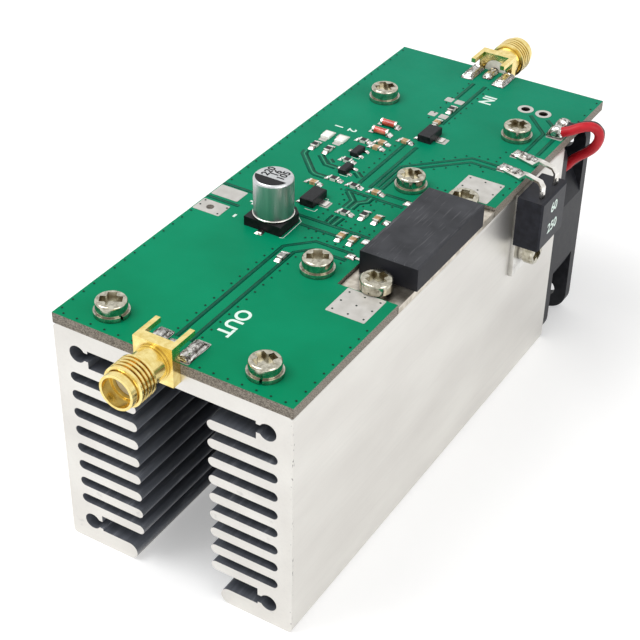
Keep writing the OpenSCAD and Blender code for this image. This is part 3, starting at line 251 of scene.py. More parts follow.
def sink_aluminium():
    """Bare extruded aluminium: pale satin outside, a few nicks in front, and painted shade that turns
    the slots dark grey and less metallic.
    """
    material, tree, shader, coordinates = new_finish("sink_aluminium", rough=0.42, metal=1.0)
    place = coordinates.outputs["Object"]
    clouds = noise(tree, place, 9, stretch=(1, 0.4, 1), detail=5)
    base = bands(tree, clouds, [(0.3, paint(214, 211, 206)), (0.7, paint(226, 224, 219))])
    die_lines = noise(tree, place, 0.5, stretch=(1, 0.01, 1), detail=3)
    lined = mixed(tree, bands(tree, die_lines, [(0.5, grey(0)), (0.8, grey(0.1))]), base,
                  paint(180, 179, 177))
    axes = tree.nodes.new("ShaderNodeSeparateXYZ")
    tree.links.new(place, axes.inputs["Vector"])
    front = near_plane(tree, axes.outputs["Y"], level_mm=BOARD_FRONT, reach_mm=0.35)
    corner = product(tree, front, near_plane(tree, axes.outputs["X"], level_mm=BOARD_SIDE,
                                             reach_mm=0.3))
    nicks = bands(tree, noise(tree, place, 0.45, stretch=(1, 1, 0.6), detail=3),
                  [(0.62, grey(0)), (0.68, grey(0.8))])
    marked = mixed(tree, product(tree, corner, nicks), lined, paint(104, 103, 102))
    scuffs = bands(tree, noise(tree, place, 2.2, stretch=(1, 0.5, 1), detail=6),
                   [(0.66, grey(0)), (0.8, grey(0.5))])
    marked = mixed(tree, product(tree, front, scuffs), marked, paint(168, 167, 165))
    # Painted shade: the slots take a dark grey with faint scratches, and lose their metal, by how
    # sheltered they are.
    shade = sheltered(tree, 30, open_at=0.97, deep_at=0.72, own=True)
    scratches = noise(tree, place, 0.8, stretch=(1, 0.12, 0.12), detail=3, turn=(0, 0, 25))
    slot_painted_shade = bands(tree, scratches, [(0.4, paint(100, 104, 112)), (0.62, paint(114, 118, 126)),
                                    (0.76, paint(150, 154, 161))])
    tree.links.new(mixed(tree, shade, marked, slot_painted_shade), shader.inputs["Base Color"])
    tree.links.new(spread_range(tree, clouds, 0.36, 0.5), shader.inputs["Roughness"])
    tree.links.new(spread_range(tree, shade, 1.0, 0.25), shader.inputs["Metallic"])
    bump(tree, shader, die_lines, strength=0.12, depth_mm=0.015)
    return material


def board_laminate():
    """Green solder mask on top, with a painted sheen that makes it a little paler towards the rear; the
    cut edges show the glass cloth, with painted shade near black in holes and hollows.
    """
    material, tree, shader, coordinates = new_finish("board_laminate", rough=0.4,
                                                     sockets=[("Specular IOR Level", 0.05)])
    place = coordinates.outputs["Object"]
    clouds = noise(tree, place, 11, detail=3)
    specks = noise(tree, place, 0.6, detail=2)
    # Painted sheen: the mask's green grows paler towards the rear.
    rear = towards_rear(tree, place)
    front_green = bands(tree, clouds, [(0.3, paint(0, 128, 86)), (0.7, paint(2, 138, 95))])
    rear_green_sheen = bands(tree, clouds, [(0.3, paint(4, 126, 95)), (0.7, paint(8, 136, 104))])
    mask = mixed(tree, rear, front_green, rear_green_sheen)
    mask = mixed(tree, bands(tree, specks, [(0.66, grey(0)), (0.76, grey(0.2))]), mask,
                 paint(26, 148, 116))
    cloth = noise(tree, place, 0.22, stretch=(1, 1, 1.6), detail=3)
    edge = bands(tree, cloth, [(0.35, paint(98, 92, 84)), (0.68, paint(166, 158, 146))])
    # Painted shade: the cut edges go near black in the holes and hollows of the board.
    edge = mixed(tree, sheltered(tree, 2.2, open_at=0.75, deep_at=0.45, own=True), edge, paint(6, 6, 6))
    tree.links.new(mixed(tree, facing_up(tree, coordinates), edge, mask), shader.inputs["Base Color"])
    tree.links.new(spread_range(tree, specks, 0.32, 0.48), shader.inputs["Roughness"])
    bump(tree, shader, clouds, strength=0.1, depth_mm=0.03)
    return material


def screw_nickel():
    # The shade colour is painted shade in the screws' recesses.
    return mottled("screw_nickel", paint(208, 204, 188), paint(158, 153, 137), rough=0.16, metal=1.0,
                   grain_mm=0.7, spread=0.06, painted_crevice_shade=(paint(150, 140, 118), 0.8))


def washer_steel():
    # The shade colour is painted shade under the screw heads and where the washers meet the board.
    return mottled("washer_steel", paint(218, 214, 202), paint(174, 169, 156), rough=0.22, metal=1.0,
                   grain_mm=0.6, spread=0.08, painted_crevice_shade=(paint(66, 60, 50), 0.8))


def flange_nickel():
    # The shade colour is painted shade in the flange's hollows.
    return mottled("flange_nickel", paint(222, 215, 202), paint(182, 173, 158), rough=0.34, metal=1.0,
                   grain_mm=1.2, spread=0.1, bump_mm=0.01, painted_crevice_shade=(paint(84, 76, 64), 1.2))


def module_black():
    """Scuffed black cap: fine pale scratches at several angles and dusty clouds."""
    material, tree, shader, coordinates = new_finish("module_black", rough=0.5, sockets=DULL)
    place = coordinates.outputs["Object"]
    clouds = noise(tree, place, 4, detail=6)
    base = bands(tree, clouds, [(0.3, paint(42, 43, 47)), (0.7, paint(66, 67, 71))])
    for turn, reach in ((20, 0.06), (-35, 0.08), (70, 0.05)):
        lines = noise(tree, place, 0.5, stretch=(1, reach, 1), detail=2, turn=(0, 0, turn))
        base = mixed(tree, bands(tree, lines, [(0.64, grey(0)), (0.72, grey(0.24))]), base,
                     paint(120, 121, 124))
    sides = bands(tree, clouds, [(0.3, paint(22, 23, 28)), (0.7, paint(36, 37, 43))])
    tree.links.new(mixed(tree, facing_up(tree, coordinates), sides, base), shader.inputs["Base Color"])
    tree.links.new(spread_range(tree, clouds, 0.42, 0.62), shader.inputs["Roughness"])
    bump(tree, shader, noise(tree, place, 0.25), strength=0.3, depth_mm=0.02)
    return material


def tinned_metal():
    # The shade colour is painted shade in the hollows of leads and terminals.
    return mottled("tinned_metal", paint(246, 244, 240), paint(222, 218, 210), rough=0.2, metal=1.0,
                   grain_mm=1.2, spread=0.08, painted_crevice_shade=(paint(96, 90, 80), 0.8))


def jack_gold():
    # The olive shade colour is painted shade in the threads and hollows.
    return mottled("jack_gold", paint(248, 230, 160), paint(232, 206, 126), rough=0.22, metal=1.0,
                   grain_mm=1.0, spread=0.06, painted_crevice_shade=(paint(178, 142, 66), 0.6))


def jack_white():
    return mottled("jack_white", paint(240, 236, 226), paint(222, 216, 204), rough=0.4, grain_mm=1.0,
                   spread=0.05)


def can_aluminium():
    """Satin drawn can with faint upright streaks, with painted shade and a painted green reflection of
    the board towards its foot.
    """
    return mottled("can_aluminium", paint(212, 213, 214), paint(196, 198, 200), rough=0.34, metal=1.0,
                   grain_mm=0.8, spread=0.05, stretch=(1, 1, 0.05), painted_crevice_shade=(paint(92, 112, 104), 8))


def base_black():
    return mottled("base_black", paint(24, 24, 26), paint(12, 12, 14), rough=0.45, grain_mm=0.8,
                   spread=0.08, bump_mm=0.01, sockets=DULL)


def package_black():
    return mottled("package_black", paint(34, 35, 38), paint(18, 19, 21), rough=0.42, grain_mm=0.6,
                   spread=0.1, bump_mm=0.01, sockets=DULL)


def diode_red():
    """Red glass with painted pale glints in streaks."""
    material, tree, shader, coordinates = new_finish("diode_red", rough=0.12,
                                                     sockets=[("Coat Weight", 0.6)])
    place = coordinates.outputs["Object"]
    streaks = noise(tree, place, 0.9, stretch=(0.4, 1, 1), detail=3)
    # Painted glints: the palest band stands in for highlights on the glass.
    colour = bands(tree, streaks, [(0.38, paint(176, 48, 30)), (0.52, paint(214, 74, 50)),
                                   (0.66, paint(240, 142, 116))])
    tree.links.new(colour, shader.inputs["Base Color"])
    return material


def light_white():
    return mottled("light_white", paint(252, 251, 246), paint(236, 234, 224), rough=0.25, grain_mm=0.6,
                   spread=0.08)


def chip_black():
    """Chip resistors: glazed black top on a white ceramic body."""
    material, tree, shader, coordinates = new_finish("chip_black", rough=0.3, sockets=DULL)
    place = coordinates.outputs["Object"]
    specks = noise(tree, place, 0.3, detail=3)
    top = bands(tree, specks, [(0.35, paint(18, 18, 20)), (0.68, paint(44, 43, 43))])
    body = bands(tree, specks, [(0.35, paint(206, 204, 198)), (0.65, paint(236, 234, 228))])
    tree.links.new(mixed(tree, facing_up(tree, coordinates), body, top), shader.inputs["Base Color"])
    return material


def chip_tan():
    """Chip capacitors: tan ceramic, and one grey part near the output."""
    material, tree, shader, coordinates = new_finish("chip_tan", rough=0.36, sockets=DULL)
    place = coordinates.outputs["Object"]
    specks = noise(tree, place, 0.4)
    brown = bands(tree, specks, [(0.35, paint(158, 122, 86)), (0.65, paint(206, 172, 130))])
    pale = bands(tree, specks, [(0.35, paint(120, 118, 114)), (0.65, paint(176, 174, 170))])
    tree.links.new(mixed(tree, towards_rear(tree, place, start=-9, end=-8), pale, brown),
                   shader.inputs["Base Color"])
    return material


def thermostat_black():
    return mottled("thermostat_black", paint(34, 36, 44), paint(22, 23, 30), rough=0.4, grain_mm=1.2,
                   spread=0.1, bump_mm=0.015, sockets=DULL)


def fan_black():
    return mottled("fan_black", paint(38, 39, 44), paint(24, 25, 29), rough=0.46, grain_mm=1.2,
                   spread=0.1, bump_mm=0.015, sockets=DULL)


def lead_skin(name, light, dark):
    return mottled(name, light, dark, rough=0.4, grain_mm=1.5, spread=0.06,
                   sockets=[("Specular IOR Level", 0.3)])


def mask_gap():
    """Dark stretches of solder mask with no copper under them, with a painted sheen that makes them
    paler towards the rear.
    """
    material, tree, shader, coordinates = new_finish("mask_gap", rough=0.45,
                                                     sockets=[("Specular IOR Level", 0.08)])
    place = coordinates.outputs["Object"]
    clouds = noise(tree, place, 1.0)
    # Painted sheen: the front lines are darker and the rear ones paler.
    front = bands(tree, clouds, [(0.35, paint(0, 78, 58)), (0.65, paint(2, 90, 67))])
    rear = bands(tree, clouds, [(0.35, paint(8, 92, 70)), (0.65, paint(14, 104, 79))])
    tree.links.new(mixed(tree, towards_rear(tree, place, start=-16, end=-4), front, rear),
                   shader.inputs["Base Color"])
    return material


def trace_green():
    """Narrow copper tracks under the mask, a little paler than the wide areas."""
    return mottled("trace_green", paint(62, 166, 124), paint(44, 150, 108), rough=0.45, grain_mm=0.8,
                   spread=0.06, sockets=[("Specular IOR Level", 0.12)])


def silk_white():
    return mottled("silk_white", paint(238, 248, 243), paint(208, 232, 220), rough=0.55, grain_mm=0.2,
                   spread=0.08)


def via_dark():
    return mottled("via_dark", paint(4, 44, 33), paint(2, 24, 18), rough=0.5, grain_mm=0.3, spread=0.1,
                   sockets=DULL)


def solder_bright():
    """Bright solder: shiny crests, dull grain, painted shade at its edges and a few flux specks."""
    material, tree, shader, coordinates = new_finish("solder_bright", rough=0.2, metal=1.0)
    place = coordinates.outputs["Object"]
    grain = noise(tree, place, 0.6, detail=5)
    colour = bands(tree, grain, [(0.36, paint(88, 82, 74)), (0.44, paint(186, 183, 177)),
                                 (0.56, paint(222, 220, 215)), (0.7, paint(250, 249, 247))])
    # Painted shade: the solder darkens where it meets the board and the parts.
    colour = mixed(tree, sheltered(tree, 0.6), colour, paint(84, 80, 74))
    tree.links.new(colour, shader.inputs["Base Color"])
    tree.links.new(spread_range(tree, grain, 0.34, 0.1), shader.inputs["Roughness"])
    bump(tree, shader, noise(tree, place, 0.8), strength=0.7, depth_mm=0.12)
    return material


def pad_tin():
    """Flat tinned pads: pale, even and a little dull."""
    return mottled("pad_tin", paint(204, 201, 196), paint(190, 187, 181), rough=0.42, metal=0.35,
                   grain_mm=1.6, spread=0.08, bump_mm=0.01)


def print_black():
    return mottled("print_black", paint(26, 26, 28), paint(14, 14, 16), rough=0.5, grain_mm=0.4,
                   spread=0.06, sockets=DULL)


tin = tinned_metal()
nickel = screw_nickel()
gold = jack_gold()
insulator = jack_white()
package = package_black()
fan_plastic = fan_black()
motor_steel = mottled("motor_steel", paint(190, 190, 192), paint(140, 140, 144), rough=0.36, metal=1.0,
                      grain_mm=1.0, spread=0.1)
cad_finishes = {
    "heatsink": sink_aluminium(),
    "board": board_laminate(),
    "board_screws": nickel, "module_screws": nickel, "thermostat_screw": nickel, "fan_screws": nickel,
    "spring_washers": washer_steel(),
    "module_flange": flange_nickel(),
    "module_substrate": mottled("ceramic_white", paint(238, 234, 224), paint(214, 208, 196), rough=0.5),
    "module_dies": mottled("die_silicon", paint(120, 124, 136), paint(80, 84, 96), rough=0.2,
                           metal=0.3),
    "module_cap": module_black(),
    "module_leads": tin, "capacitor_terminals": tin, "regulator_leads": tin, "driver_leads": tin,
    "transistor_leads": tin, "diode_ends": tin, "chip_ends": tin, "thermostat_leads": tin,
    "output_jack_shell": gold, "output_jack_contact": gold,
    "input_jack_shell": gold, "input_jack_contact": gold,
    "output_jack_insulator": insulator, "input_jack_insulator": insulator,
    "capacitor_can": can_aluminium(),
    "capacitor_base": base_black(),
    "capacitor_seal": mottled("seal_rubber", paint(48, 48, 48), paint(30, 30, 30), rough=0.7),
    "capacitor_winding": mottled("winding_foil", paint(206, 196, 172), paint(170, 158, 132), rough=0.4,
                                 metal=0.5),
    "regulator_body": package, "driver_body": package, "transistor_bodies": package,
    "diode_glass": diode_red(),
    "indicator_lights": light_white(),
    "chip_resistors": chip_black(),
    "chip_capacitors": chip_tan(),
    "thermostat_body": thermostat_black(),
    # The tab's shade colour is painted shade in its hollows.
    "thermostat_tab": mottled("tab_aluminium", paint(234, 233, 229), paint(208, 206, 201), rough=0.3,
                              metal=1.0, grain_mm=2, spread=0.08, painted_crevice_shade=(paint(88, 86, 82), 1.5)),
    "thermostat_disc": mottled("disc_bimetal", paint(196, 188, 168), paint(150, 142, 124), rough=0.3,
                               metal=1.0),
    "thermostat_pin": mottled("pin_ceramic", paint(236, 230, 214), paint(214, 206, 188), rough=0.5),
    "thermostat_arm": mottled("arm_bronze", paint(216, 170, 106), paint(170, 126, 72), rough=0.3,
                              metal=1.0),
    "thermostat_contact": mottled("contact_silver", paint(232, 230, 224), paint(190, 188, 180),
                                  rough=0.2, metal=1.0),
    "fan_frame": fan_plastic, "fan_motor_mount": fan_plastic, "fan_impeller": fan_plastic,
    "fan_bearing": mottled("bearing_bronze", paint(196, 148, 92), paint(150, 108, 62), rough=0.42,
                           metal=1.0, grain_mm=0.5),
    "fan_driver_board": mottled("driver_green", paint(34, 120, 78), paint(20, 92, 58), rough=0.36),
    "fan_stator": motor_steel, "fan_shaft": motor_steel, "fan_yoke": motor_steel,
    "fan_clip": motor_steel,
    "fan_coils": mottled("coil_copper", paint(206, 116, 58), paint(150, 76, 34), rough=0.3, metal=0.9,
                         grain_mm=0.4),
    "fan_magnet": mottled("magnet_dark", paint(72, 70, 70), paint(48, 46, 46), rough=0.6),
}
for node_name, finish in cad_finishes.items():
    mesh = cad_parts[node_name].data
    mesh.materials.clear()
    mesh.materials.append(finish)

solder = solder_bright()
pads_finish = pad_tin()
gap_green = mask_gap()
trace_pale = trace_green()
silk = silk_white()
via_finish = via_dark()


# Fan leads: the routes of part.scad, from the board's pads round to the fan's shroud
LEAD_DIAMETER = 0.0017
red_route = [
    (0.018, 0.0427, 0.0427), (0.0191, 0.0428, 0.0428), (0.0202, 0.0429, 0.04315),
    (0.02115, 0.04325, 0.0436), (0.0221, 0.0438, 0.044), (0.023, 0.04435, 0.0442),
    (0.02385, 0.04485, 0.0441), (0.0245, 0.0453, 0.04355), (0.0248, 0.0457, 0.0427),
    (0.02475, 0.0461, 0.04155), (0.0243, 0.04655, 0.04025), (0.0235, 0.047, 0.0389),
    (0.0224, 0.04735, 0.03765), (0.0212, 0.0475, 0.0366), (0.02035, 0.0475, 0.0358),
    (0.0197, 0.0475, 0.035), (0.01915, 0.0475, 0.03415), (0.0185, 0.0475, 0.0334),
    (0.01775, 0.0475, 0.03275), (0.017, 0.0475, 0.03225), (0.01634, 0.0475, 0.03187),
]
black_route = [
    (0.018, 0.0455, 0.0427), (0.0191, 0.0454, 0.0427), (0.0199, 0.0453, 0.0427),
    (0.0207, 0.04535, 0.04285), (0.0215, 0.0457, 0.0432), (0.0224, 0.0463, 0.04335),
    (0.0232, 0.04695, 0.0432), (0.02375, 0.0477, 0.04245), (0.024, 0.04835, 0.0415),
    (0.0239, 0.04875, 0.0403), (0.02345, 0.0492, 0.039), (0.02265, 0.04965, 0.03765),
    (0.0216, 0.04985, 0.0365), (0.0206, 0.0497, 0.0355), (0.02, 0.0497, 0.03485),
    (0.0195, 0.0497, 0.03425), (0.01895, 0.04965, 0.0337), (0.01835, 0.0496, 0.03315),
    (0.0177, 0.0496, 0.03265), (0.017, 0.0496, 0.03225), (0.01634, 0.0496, 0.03187),
]


def fan_lead(name, route, finish, node):
    """A round lead on one smooth curve through its route."""
    curve = bpy.data.curves.new(name, "CURVE")
    curve.dimensions = "3D"
    curve.bevel_depth = LEAD_DIAMETER / 2
    curve.bevel_resolution = 4
    curve.use_fill_caps = True
    spline = curve.splines.new("BEZIER")
    spline.bezier_points.add(len(route) - 1)
    for point, place in zip(spline.bezier_points, route):
        point.co = place
        point.handle_left_type = "AUTO"
        point.handle_right_type = "AUTO"
    lead = bpy.data.objects.new(name, curve)
    bpy.context.collection.objects.link(lead)
    curve.materials.append(finish)
    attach(lead, BODY)
    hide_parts(node)


fan_lead("red_fan_lead", red_route, lead_skin("lead_red", paint(198, 30, 42), paint(180, 20, 34)),
         "fan_lead_red")
fan_lead("black_fan_lead", black_route, lead_skin("lead_black", paint(32, 32, 35), paint(18, 18, 20)),
         "fan_lead_black")


# Modelling helpers

TOP_FACE = 0.9
OPEN_FACE = 0.1


def clear_selection():
    """Goes to object mode with nothing selected."""
    if bpy.context.mode != "OBJECT":
        bpy.ops.object.mode_set(mode="OBJECT")
    bpy.ops.object.select_all(action="DESELECT")


def edit_faces(piece, wanted):
    """Goes to edit mode with only the wanted faces selected."""
    bpy.ops.object.mode_set(mode="EDIT")
    bpy.ops.mesh.select_mode(type="FACE")
    bpy.ops.mesh.select_all(action="DESELECT")
    bpy.ops.object.mode_set(mode="OBJECT")
    for face in piece.data.polygons:
        face.select = wanted(face)
    bpy.ops.object.mode_set(mode="EDIT")


def apply_place(piece):
    """Puts the place, turn and scale of the selected piece in its mesh."""
    bpy.ops.object.transform_apply(location=True, rotation=True, scale=True)
    return piece


def joined(name, parts):
    """Joins parts to one piece at the origin, with its place in its mesh."""
    clear_selection()
    for part in parts:
        part.select_set(True)
    bpy.context.view_layer.objects.active = parts[0]
    if len(parts) > 1:
        bpy.ops.object.join()
    piece = bpy.context.object
    apply_place(piece)
    piece.name = name
    piece.data.name = name
    return piece


def copies(name, model, places):
    """Copies a model to places (x, y, z in millimetres, turn in degrees), each with its own mesh."""
    made = []
    for x, y, z, turn in places:
        copy = model.copy()
        copy.data = model.data.copy()
        copy.location = metres(x, y, z)
        copy.rotation_euler = (0, 0, math.radians(turn))
        bpy.context.collection.objects.link(copy)
        made.append(copy)
    bpy.data.objects.remove(model)
    return joined(name, made)


def on_amplifier(piece, finish):
    """Gives a piece its finish and fixes it to the amplifier's body."""
    piece.data.materials.clear()
    piece.data.materials.append(finish)
    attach(piece, BODY)


MOUND_ROUNDING = 0.3
ROUGH_CUTS = 3
ROUGH_SEED = 7


def solder_mound(length, width, height, top, lean, rough=0.0):
    """A mound on the plane z = 0: a rounded block whose top is drawn in and pushed along X."""
    clear_selection()
    bpy.ops.mesh.primitive_cube_add(size=1, location=metres(0, 0, height / 2),
                                    scale=metres(length, width, height))
    mound = apply_place(bpy.context.object)
    edit_faces(mound, lambda face: face.normal.z > TOP_FACE)
    bpy.ops.transform.resize(value=(top[0], top[1], 1), center_override=metres(0, 0, height))
    bpy.ops.transform.translate(value=metres(lean, 0, 0))
    bpy.ops.mesh.select_all(action="SELECT")
    rounding = MOUND_ROUNDING * min(width, height, length)
    bpy.ops.mesh.bevel(offset=rounding * MM, segments=3, affect="EDGES")
    if rough:
        edit_faces(mound, lambda face: face.normal.z > OPEN_FACE)
        bpy.ops.mesh.subdivide(number_cuts=ROUGH_CUTS)
        bpy.ops.transform.vertex_random(offset=rough * MM, normal=1.0, seed=ROUGH_SEED)
    bpy.ops.object.mode_set(mode="OBJECT")
    bpy.ops.object.shade_smooth()
    return mound


def solder_at(name, mound, places):
    """One piece of solder: copies of a mound at places."""
    on_amplifier(copies(name, mound, places), solder)


PAD_ROUNDING = 0.2
PAD_HEIGHT = 0.035
PAD_CROWN_INSET = 0.12


def flat_pad(x0, y0, x1, y1):
    """A thin plate on the board between two corners, with round corners and a low crown."""
    clear_selection()
    bpy.ops.mesh.primitive_plane_add(size=1, location=metres((x0 + x1) / 2, (y0 + y1) / 2, BOARD_TOP))
    pad = bpy.context.object
    pad.scale = metres(x1 - x0, y1 - y0, 1)
    apply_place(pad)
    bpy.ops.object.mode_set(mode="EDIT")
    bpy.ops.mesh.select_all(action="SELECT")
    bpy.ops.mesh.bevel(offset=PAD_ROUNDING * MM, segments=4, affect="VERTICES")
    bpy.ops.mesh.extrude_region_move(TRANSFORM_OT_translate={"value": metres(0, 0, PAD_HEIGHT)})
    bpy.ops.mesh.inset(thickness=PAD_CROWN_INSET * MM)
    bpy.ops.transform.translate(value=metres(0, 0, PAD_HEIGHT / 2))
    bpy.ops.object.mode_set(mode="OBJECT")
    return pad


LINE_HEIGHT = 0.012


def flat_lines(name, paths, width, height=LINE_HEIGHT):
    """Flat strips on the board along paths of points in millimetres."""
    curve = bpy.data.curves.new(name, "CURVE")
    curve.dimensions = "3D"
    curve.bevel_depth = width / 2 * MM
    curve.bevel_resolution = 0
    curve.use_fill_caps = True
    for path in paths:
        spline = curve.splines.new("POLY")
        spline.points.add(len(path) - 1)
        for point, (x, y) in zip(spline.points, path):
            point.co = (*metres(x, y, 0), 1)
    strips = bpy.data.objects.new(name, curve)
    bpy.context.collection.objects.link(strips)
    clear_selection()
    strips.select_set(True)
    bpy.context.view_layer.objects.active = strips
    bpy.ops.object.convert(target="MESH")
    strips = bpy.context.object
    strips.scale = (1, 1, 2 * height / width)
    strips.location = metres(0, 0, BOARD_TOP)
    return joined(name, [strips])


STROKE = 0.025
LETTER_HEIGHT = 0.015
READ_FROM_SIDE = (0, 0, -90)


def label(words, x, y, size, z=BOARD_TOP, turn=READ_FROM_SIDE):
    """Flat letters with their middle at a place in millimetres."""
    clear_selection()
    bpy.ops.object.text_add()
    text = bpy.context.object
    text.data.body = words
    text.data.size = size * MM
    text.data.align_x = "CENTER"
    text.data.align_y = "CENTER"
    text.data.extrude = LETTER_HEIGHT * MM
    text.data.offset = STROKE * size * MM
    bpy.ops.object.convert(target="MESH")
    text = bpy.context.object
    text.location = metres(x, y, z)
    text.rotation_euler = [math.radians(angle) for angle in turn]
    return apply_place(text)


# Board: gaps between the copper areas, seen as dark green lines through the mask
GAP_WIDTH = 0.74
gap_paths = [
    [(-2, -38.4), (-2, -11.2), (1.5, -7.5), (8, -7.5)],
    [(0.25, -38.4), (0.25, -11.8), (2.25, -9.6), (8, -9.6)],
    [(-5.2, -2.4), (7.85, -2.4)],
    [(-3.1, -4.55), (3.35, -4.55)],
    [(-20, -0.7), (-13.9, -0.7)],
    [(-20, -5.35), (-13.9, -5.35)],
    [(-2.7, 8.15), (7.85, 8.15)],
    [(3.5, 10.25), (7.85, 10.25)],
    [(-1.75, 26.4), (-1.75, 11)],
    [(0.4, 26.4), (0.4, 10.6)],
    [(-2.15, 52.7), (-2.15, 45.6)],
    [(0.15, 52.7), (0.15, 35.7)],
    [(14.8, 28.15), (9.85, 28.15), (1.3, 19.3), (1.3, 11.5)],
    [(14.8, 26.8), (10.25, 26.8), (2.25, 18.7), (2.25, 11.3)],
    [(11.5, 47.2), (16.25, 42.2), (16.25, 34.8)],
    [(14.7, 47.2), (18.5, 43.6)],
    [(18.5, 41.4), (18.5, 34.8)],
]
track_paths = [
    [(-14.5, 15.6), (-14.3, 14.5), (-9.95, 10), (-9.2, 9.65), (-7.3, 9.65)],
    [(-11.65, 15.5), (-9.35, 13.3), (-7.4, 13.25)],
    [(-9.8, 15), (-8.8, 14.2)],
    [(-1.9, 7.9), (0.15, 5.85), (0.15, 3.3)],
    [(2.2, 8.2), (2.25, 6.7), (1.15, 5.55), (1.1, 3.4)],
    [(0.1, 0.5), (0.15, -1.9)],
    [(1.3, 0.5), (1.15, -2.2)],
    [(-3.9, 13.7), (-2.5, 12.6)],
]
TRACK_BED_WIDTH = 1.3
TRACK_WIDTH = 0.3
TRACK_HEIGHT = 0.024
gap_strips = [flat_lines("wide_gaps", gap_paths, GAP_WIDTH),
              flat_lines("track_beds", track_paths, TRACK_BED_WIDTH)]
on_amplifier(joined("mask_gaps", gap_strips), gap_green)
on_amplifier(flat_lines("fine_tracks", track_paths, TRACK_WIDTH, TRACK_HEIGHT), trace_pale)

# Board: rows of plated holes
VIA_RADIUS = 0.16
VIA_HEIGHT = 0.03
VIA_RIM = 0.3
VIA_SINK = 0.02
VIA_RISE = 0.07


def via_row(start, end, pitch):
    """Places along a straight row, from its start to its end."""
    reach = math.dist(start, end)
    count = round(reach / pitch)
    return [(start[0] + (end[0] - start[0]) * i / count, start[1] + (end[1] - start[1]) * i / count)
            for i in range(count + 1)]


via_rows = [
    ((-2.88, -36.8), (-2.88, -12.8), 2.16), ((1.2, -36.8), (1.2, -12.8), 2.16),
    ((-19.44, -41.6), (-19.44, -10.4), 2.4), ((-19.44, 0.8), (-19.44, 57.6), 2.4),
    ((19.44, -41.6), (19.44, -23.2), 2.4), ((-18.4, -42.56), (-6.4, -42.56), 2.4),
    ((4.8, -42.56), (18.4, -42.56), 2.4), ((19.44, 49.6), (19.44, 57.6), 2.4),
    ((2.88, -10.64), (7.68, -10.64), 1.6), ((2.4, -1.5), (7.3, -1.5), 1.63),
    ((2.4, -0.2), (7.4, -0.2), 1.66), ((3.4, 7.4), (6.3, 7.4), 1.45),
    ((2.9, -6.6), (7.2, -6.6), 1.43), ((-1.3, -5.1), (1.4, -5.2), 1.35),
    ((-0.4, -7.5), (1.3, -6.5), 0.98), ((-1.7, 1.2), (-1.8, -1.4), 1.3),
    ((-0.1, 0), (-0.1, -1.6), 1.6), ((-3.2, 7.8), (-1.1, 5.2), 1.6), ((-1.1, 3.7), (-1.1, 5.2), 1.5),
    ((-0.1, 7.8), (0.9, 7.8), 1), ((2.4, 3.6), (2.4, 5.1), 1.5), ((3.2, 6.1), (4.4, 5), 1.6),
    ((-2.88, 36.8), (-2.88, 52), 2.16), ((1.04, 36.8), (1.04, 52), 2.16),
    ((-2.88, 14.4), (-2.88, 24.8), 1.76), ((2, 21), (8.7, 28.3), 1.9),
    ((10.6, 29.25), (13.7, 29.3), 1.55), ((13.65, 30.8), (13.65, 33), 2.2),
    ((4.8, 20), (10.5, 25.8), 1.9), ((12.3, 26.2), (13.3, 25.1), 1.4),
    ((9.5, 16.5), (10.9, 16.5), 1.4), ((19.3, 20.2), (19.3, 24.9), 2.3),
    ((12.5, 22.2), (17.9, 22.2), 2.65), ((12.5, 19.35), (17.9, 19.35), 2.65),
    ((12.6, -21.2), (17.7, -21.2), 2.5), ((12.6, -18.8), (17.7, -18.8), 2.5),
    ((12.6, -16.4), (17.7, -16.4), 2.5), ((-15.4, -9.1), (-15.1, -6.9), 2.2),
    ((-19.3, -8.1), (-19.3, -6.7), 1.4),
]
via_places = [place for row in via_rows for place in via_row(*row)]


def plated_hole(radius):
    """A low ring with a sunk middle."""
    clear_selection()
    bpy.ops.mesh.primitive_cylinder_add(vertices=12, radius=radius * MM, depth=VIA_HEIGHT * MM)
    ring = bpy.context.object
    edit_faces(ring, lambda face: face.normal.z > TOP_FACE)
    bpy.ops.mesh.inset(thickness=VIA_RIM * radius * MM)
    bpy.ops.transform.translate(value=metres(0, 0, -VIA_SINK))
    bpy.ops.object.mode_set(mode="OBJECT")
    return ring


via_z = BOARD_TOP + VIA_RISE
on_amplifier(copies("plated_holes", plated_hole(VIA_RADIUS), [(x, y, via_z, 0) for x, y in via_places]),
             via_finish)

# Board: bare tinned pads
pad_places = [
    (11.84, -22, 18.24, -15.52), (11.84, 16.24, 18.32, 23),
    (-19.84, -4.48, -14.88, -1.28), (-19.84, -9.6, -14.88, -6.24),
    (-4.9, -43, -2.7, -37.8), (0.9, -43, 3.2, -37.4),
    (-5.3, 53.6, -3.1, 58.96), (0.85, 53.8, 3, 58.96),
    (14.7, 32, 19.84, 34.2), (14.9, 26.7, 19.84, 28.9),
    (16.9, 41.5, 19.8, 44.1), (16.8, 45.2, 19.8, 47.6),
    (-3.68, 43.92, -2.24, 45.44), (-1.76, 43.92, -0.24, 45.44),
    (-3.68, 37.68, -2.24, 39.2), (-1.68, 37.68, -0.16, 39.2),
    (-3.6, 1.52, -2.08, 3.36), (2.08, 29.68, 3.92, 31.52),
    (-15.36, 21.92, -13.36, 23.36), (-12.72, 21.92, -10.64, 23.36),
    (-14.8, 19.68, -13.44, 20.88), (-12.16, 19.68, -10.72, 20.88),
]
on_amplifier(joined("tinned_pads", [flat_pad(*corners) for corners in pad_places]), pads_finish)


RING_INNER = 0.8
RING_OUTER = 1.4
RING_HEIGHT = 0.05


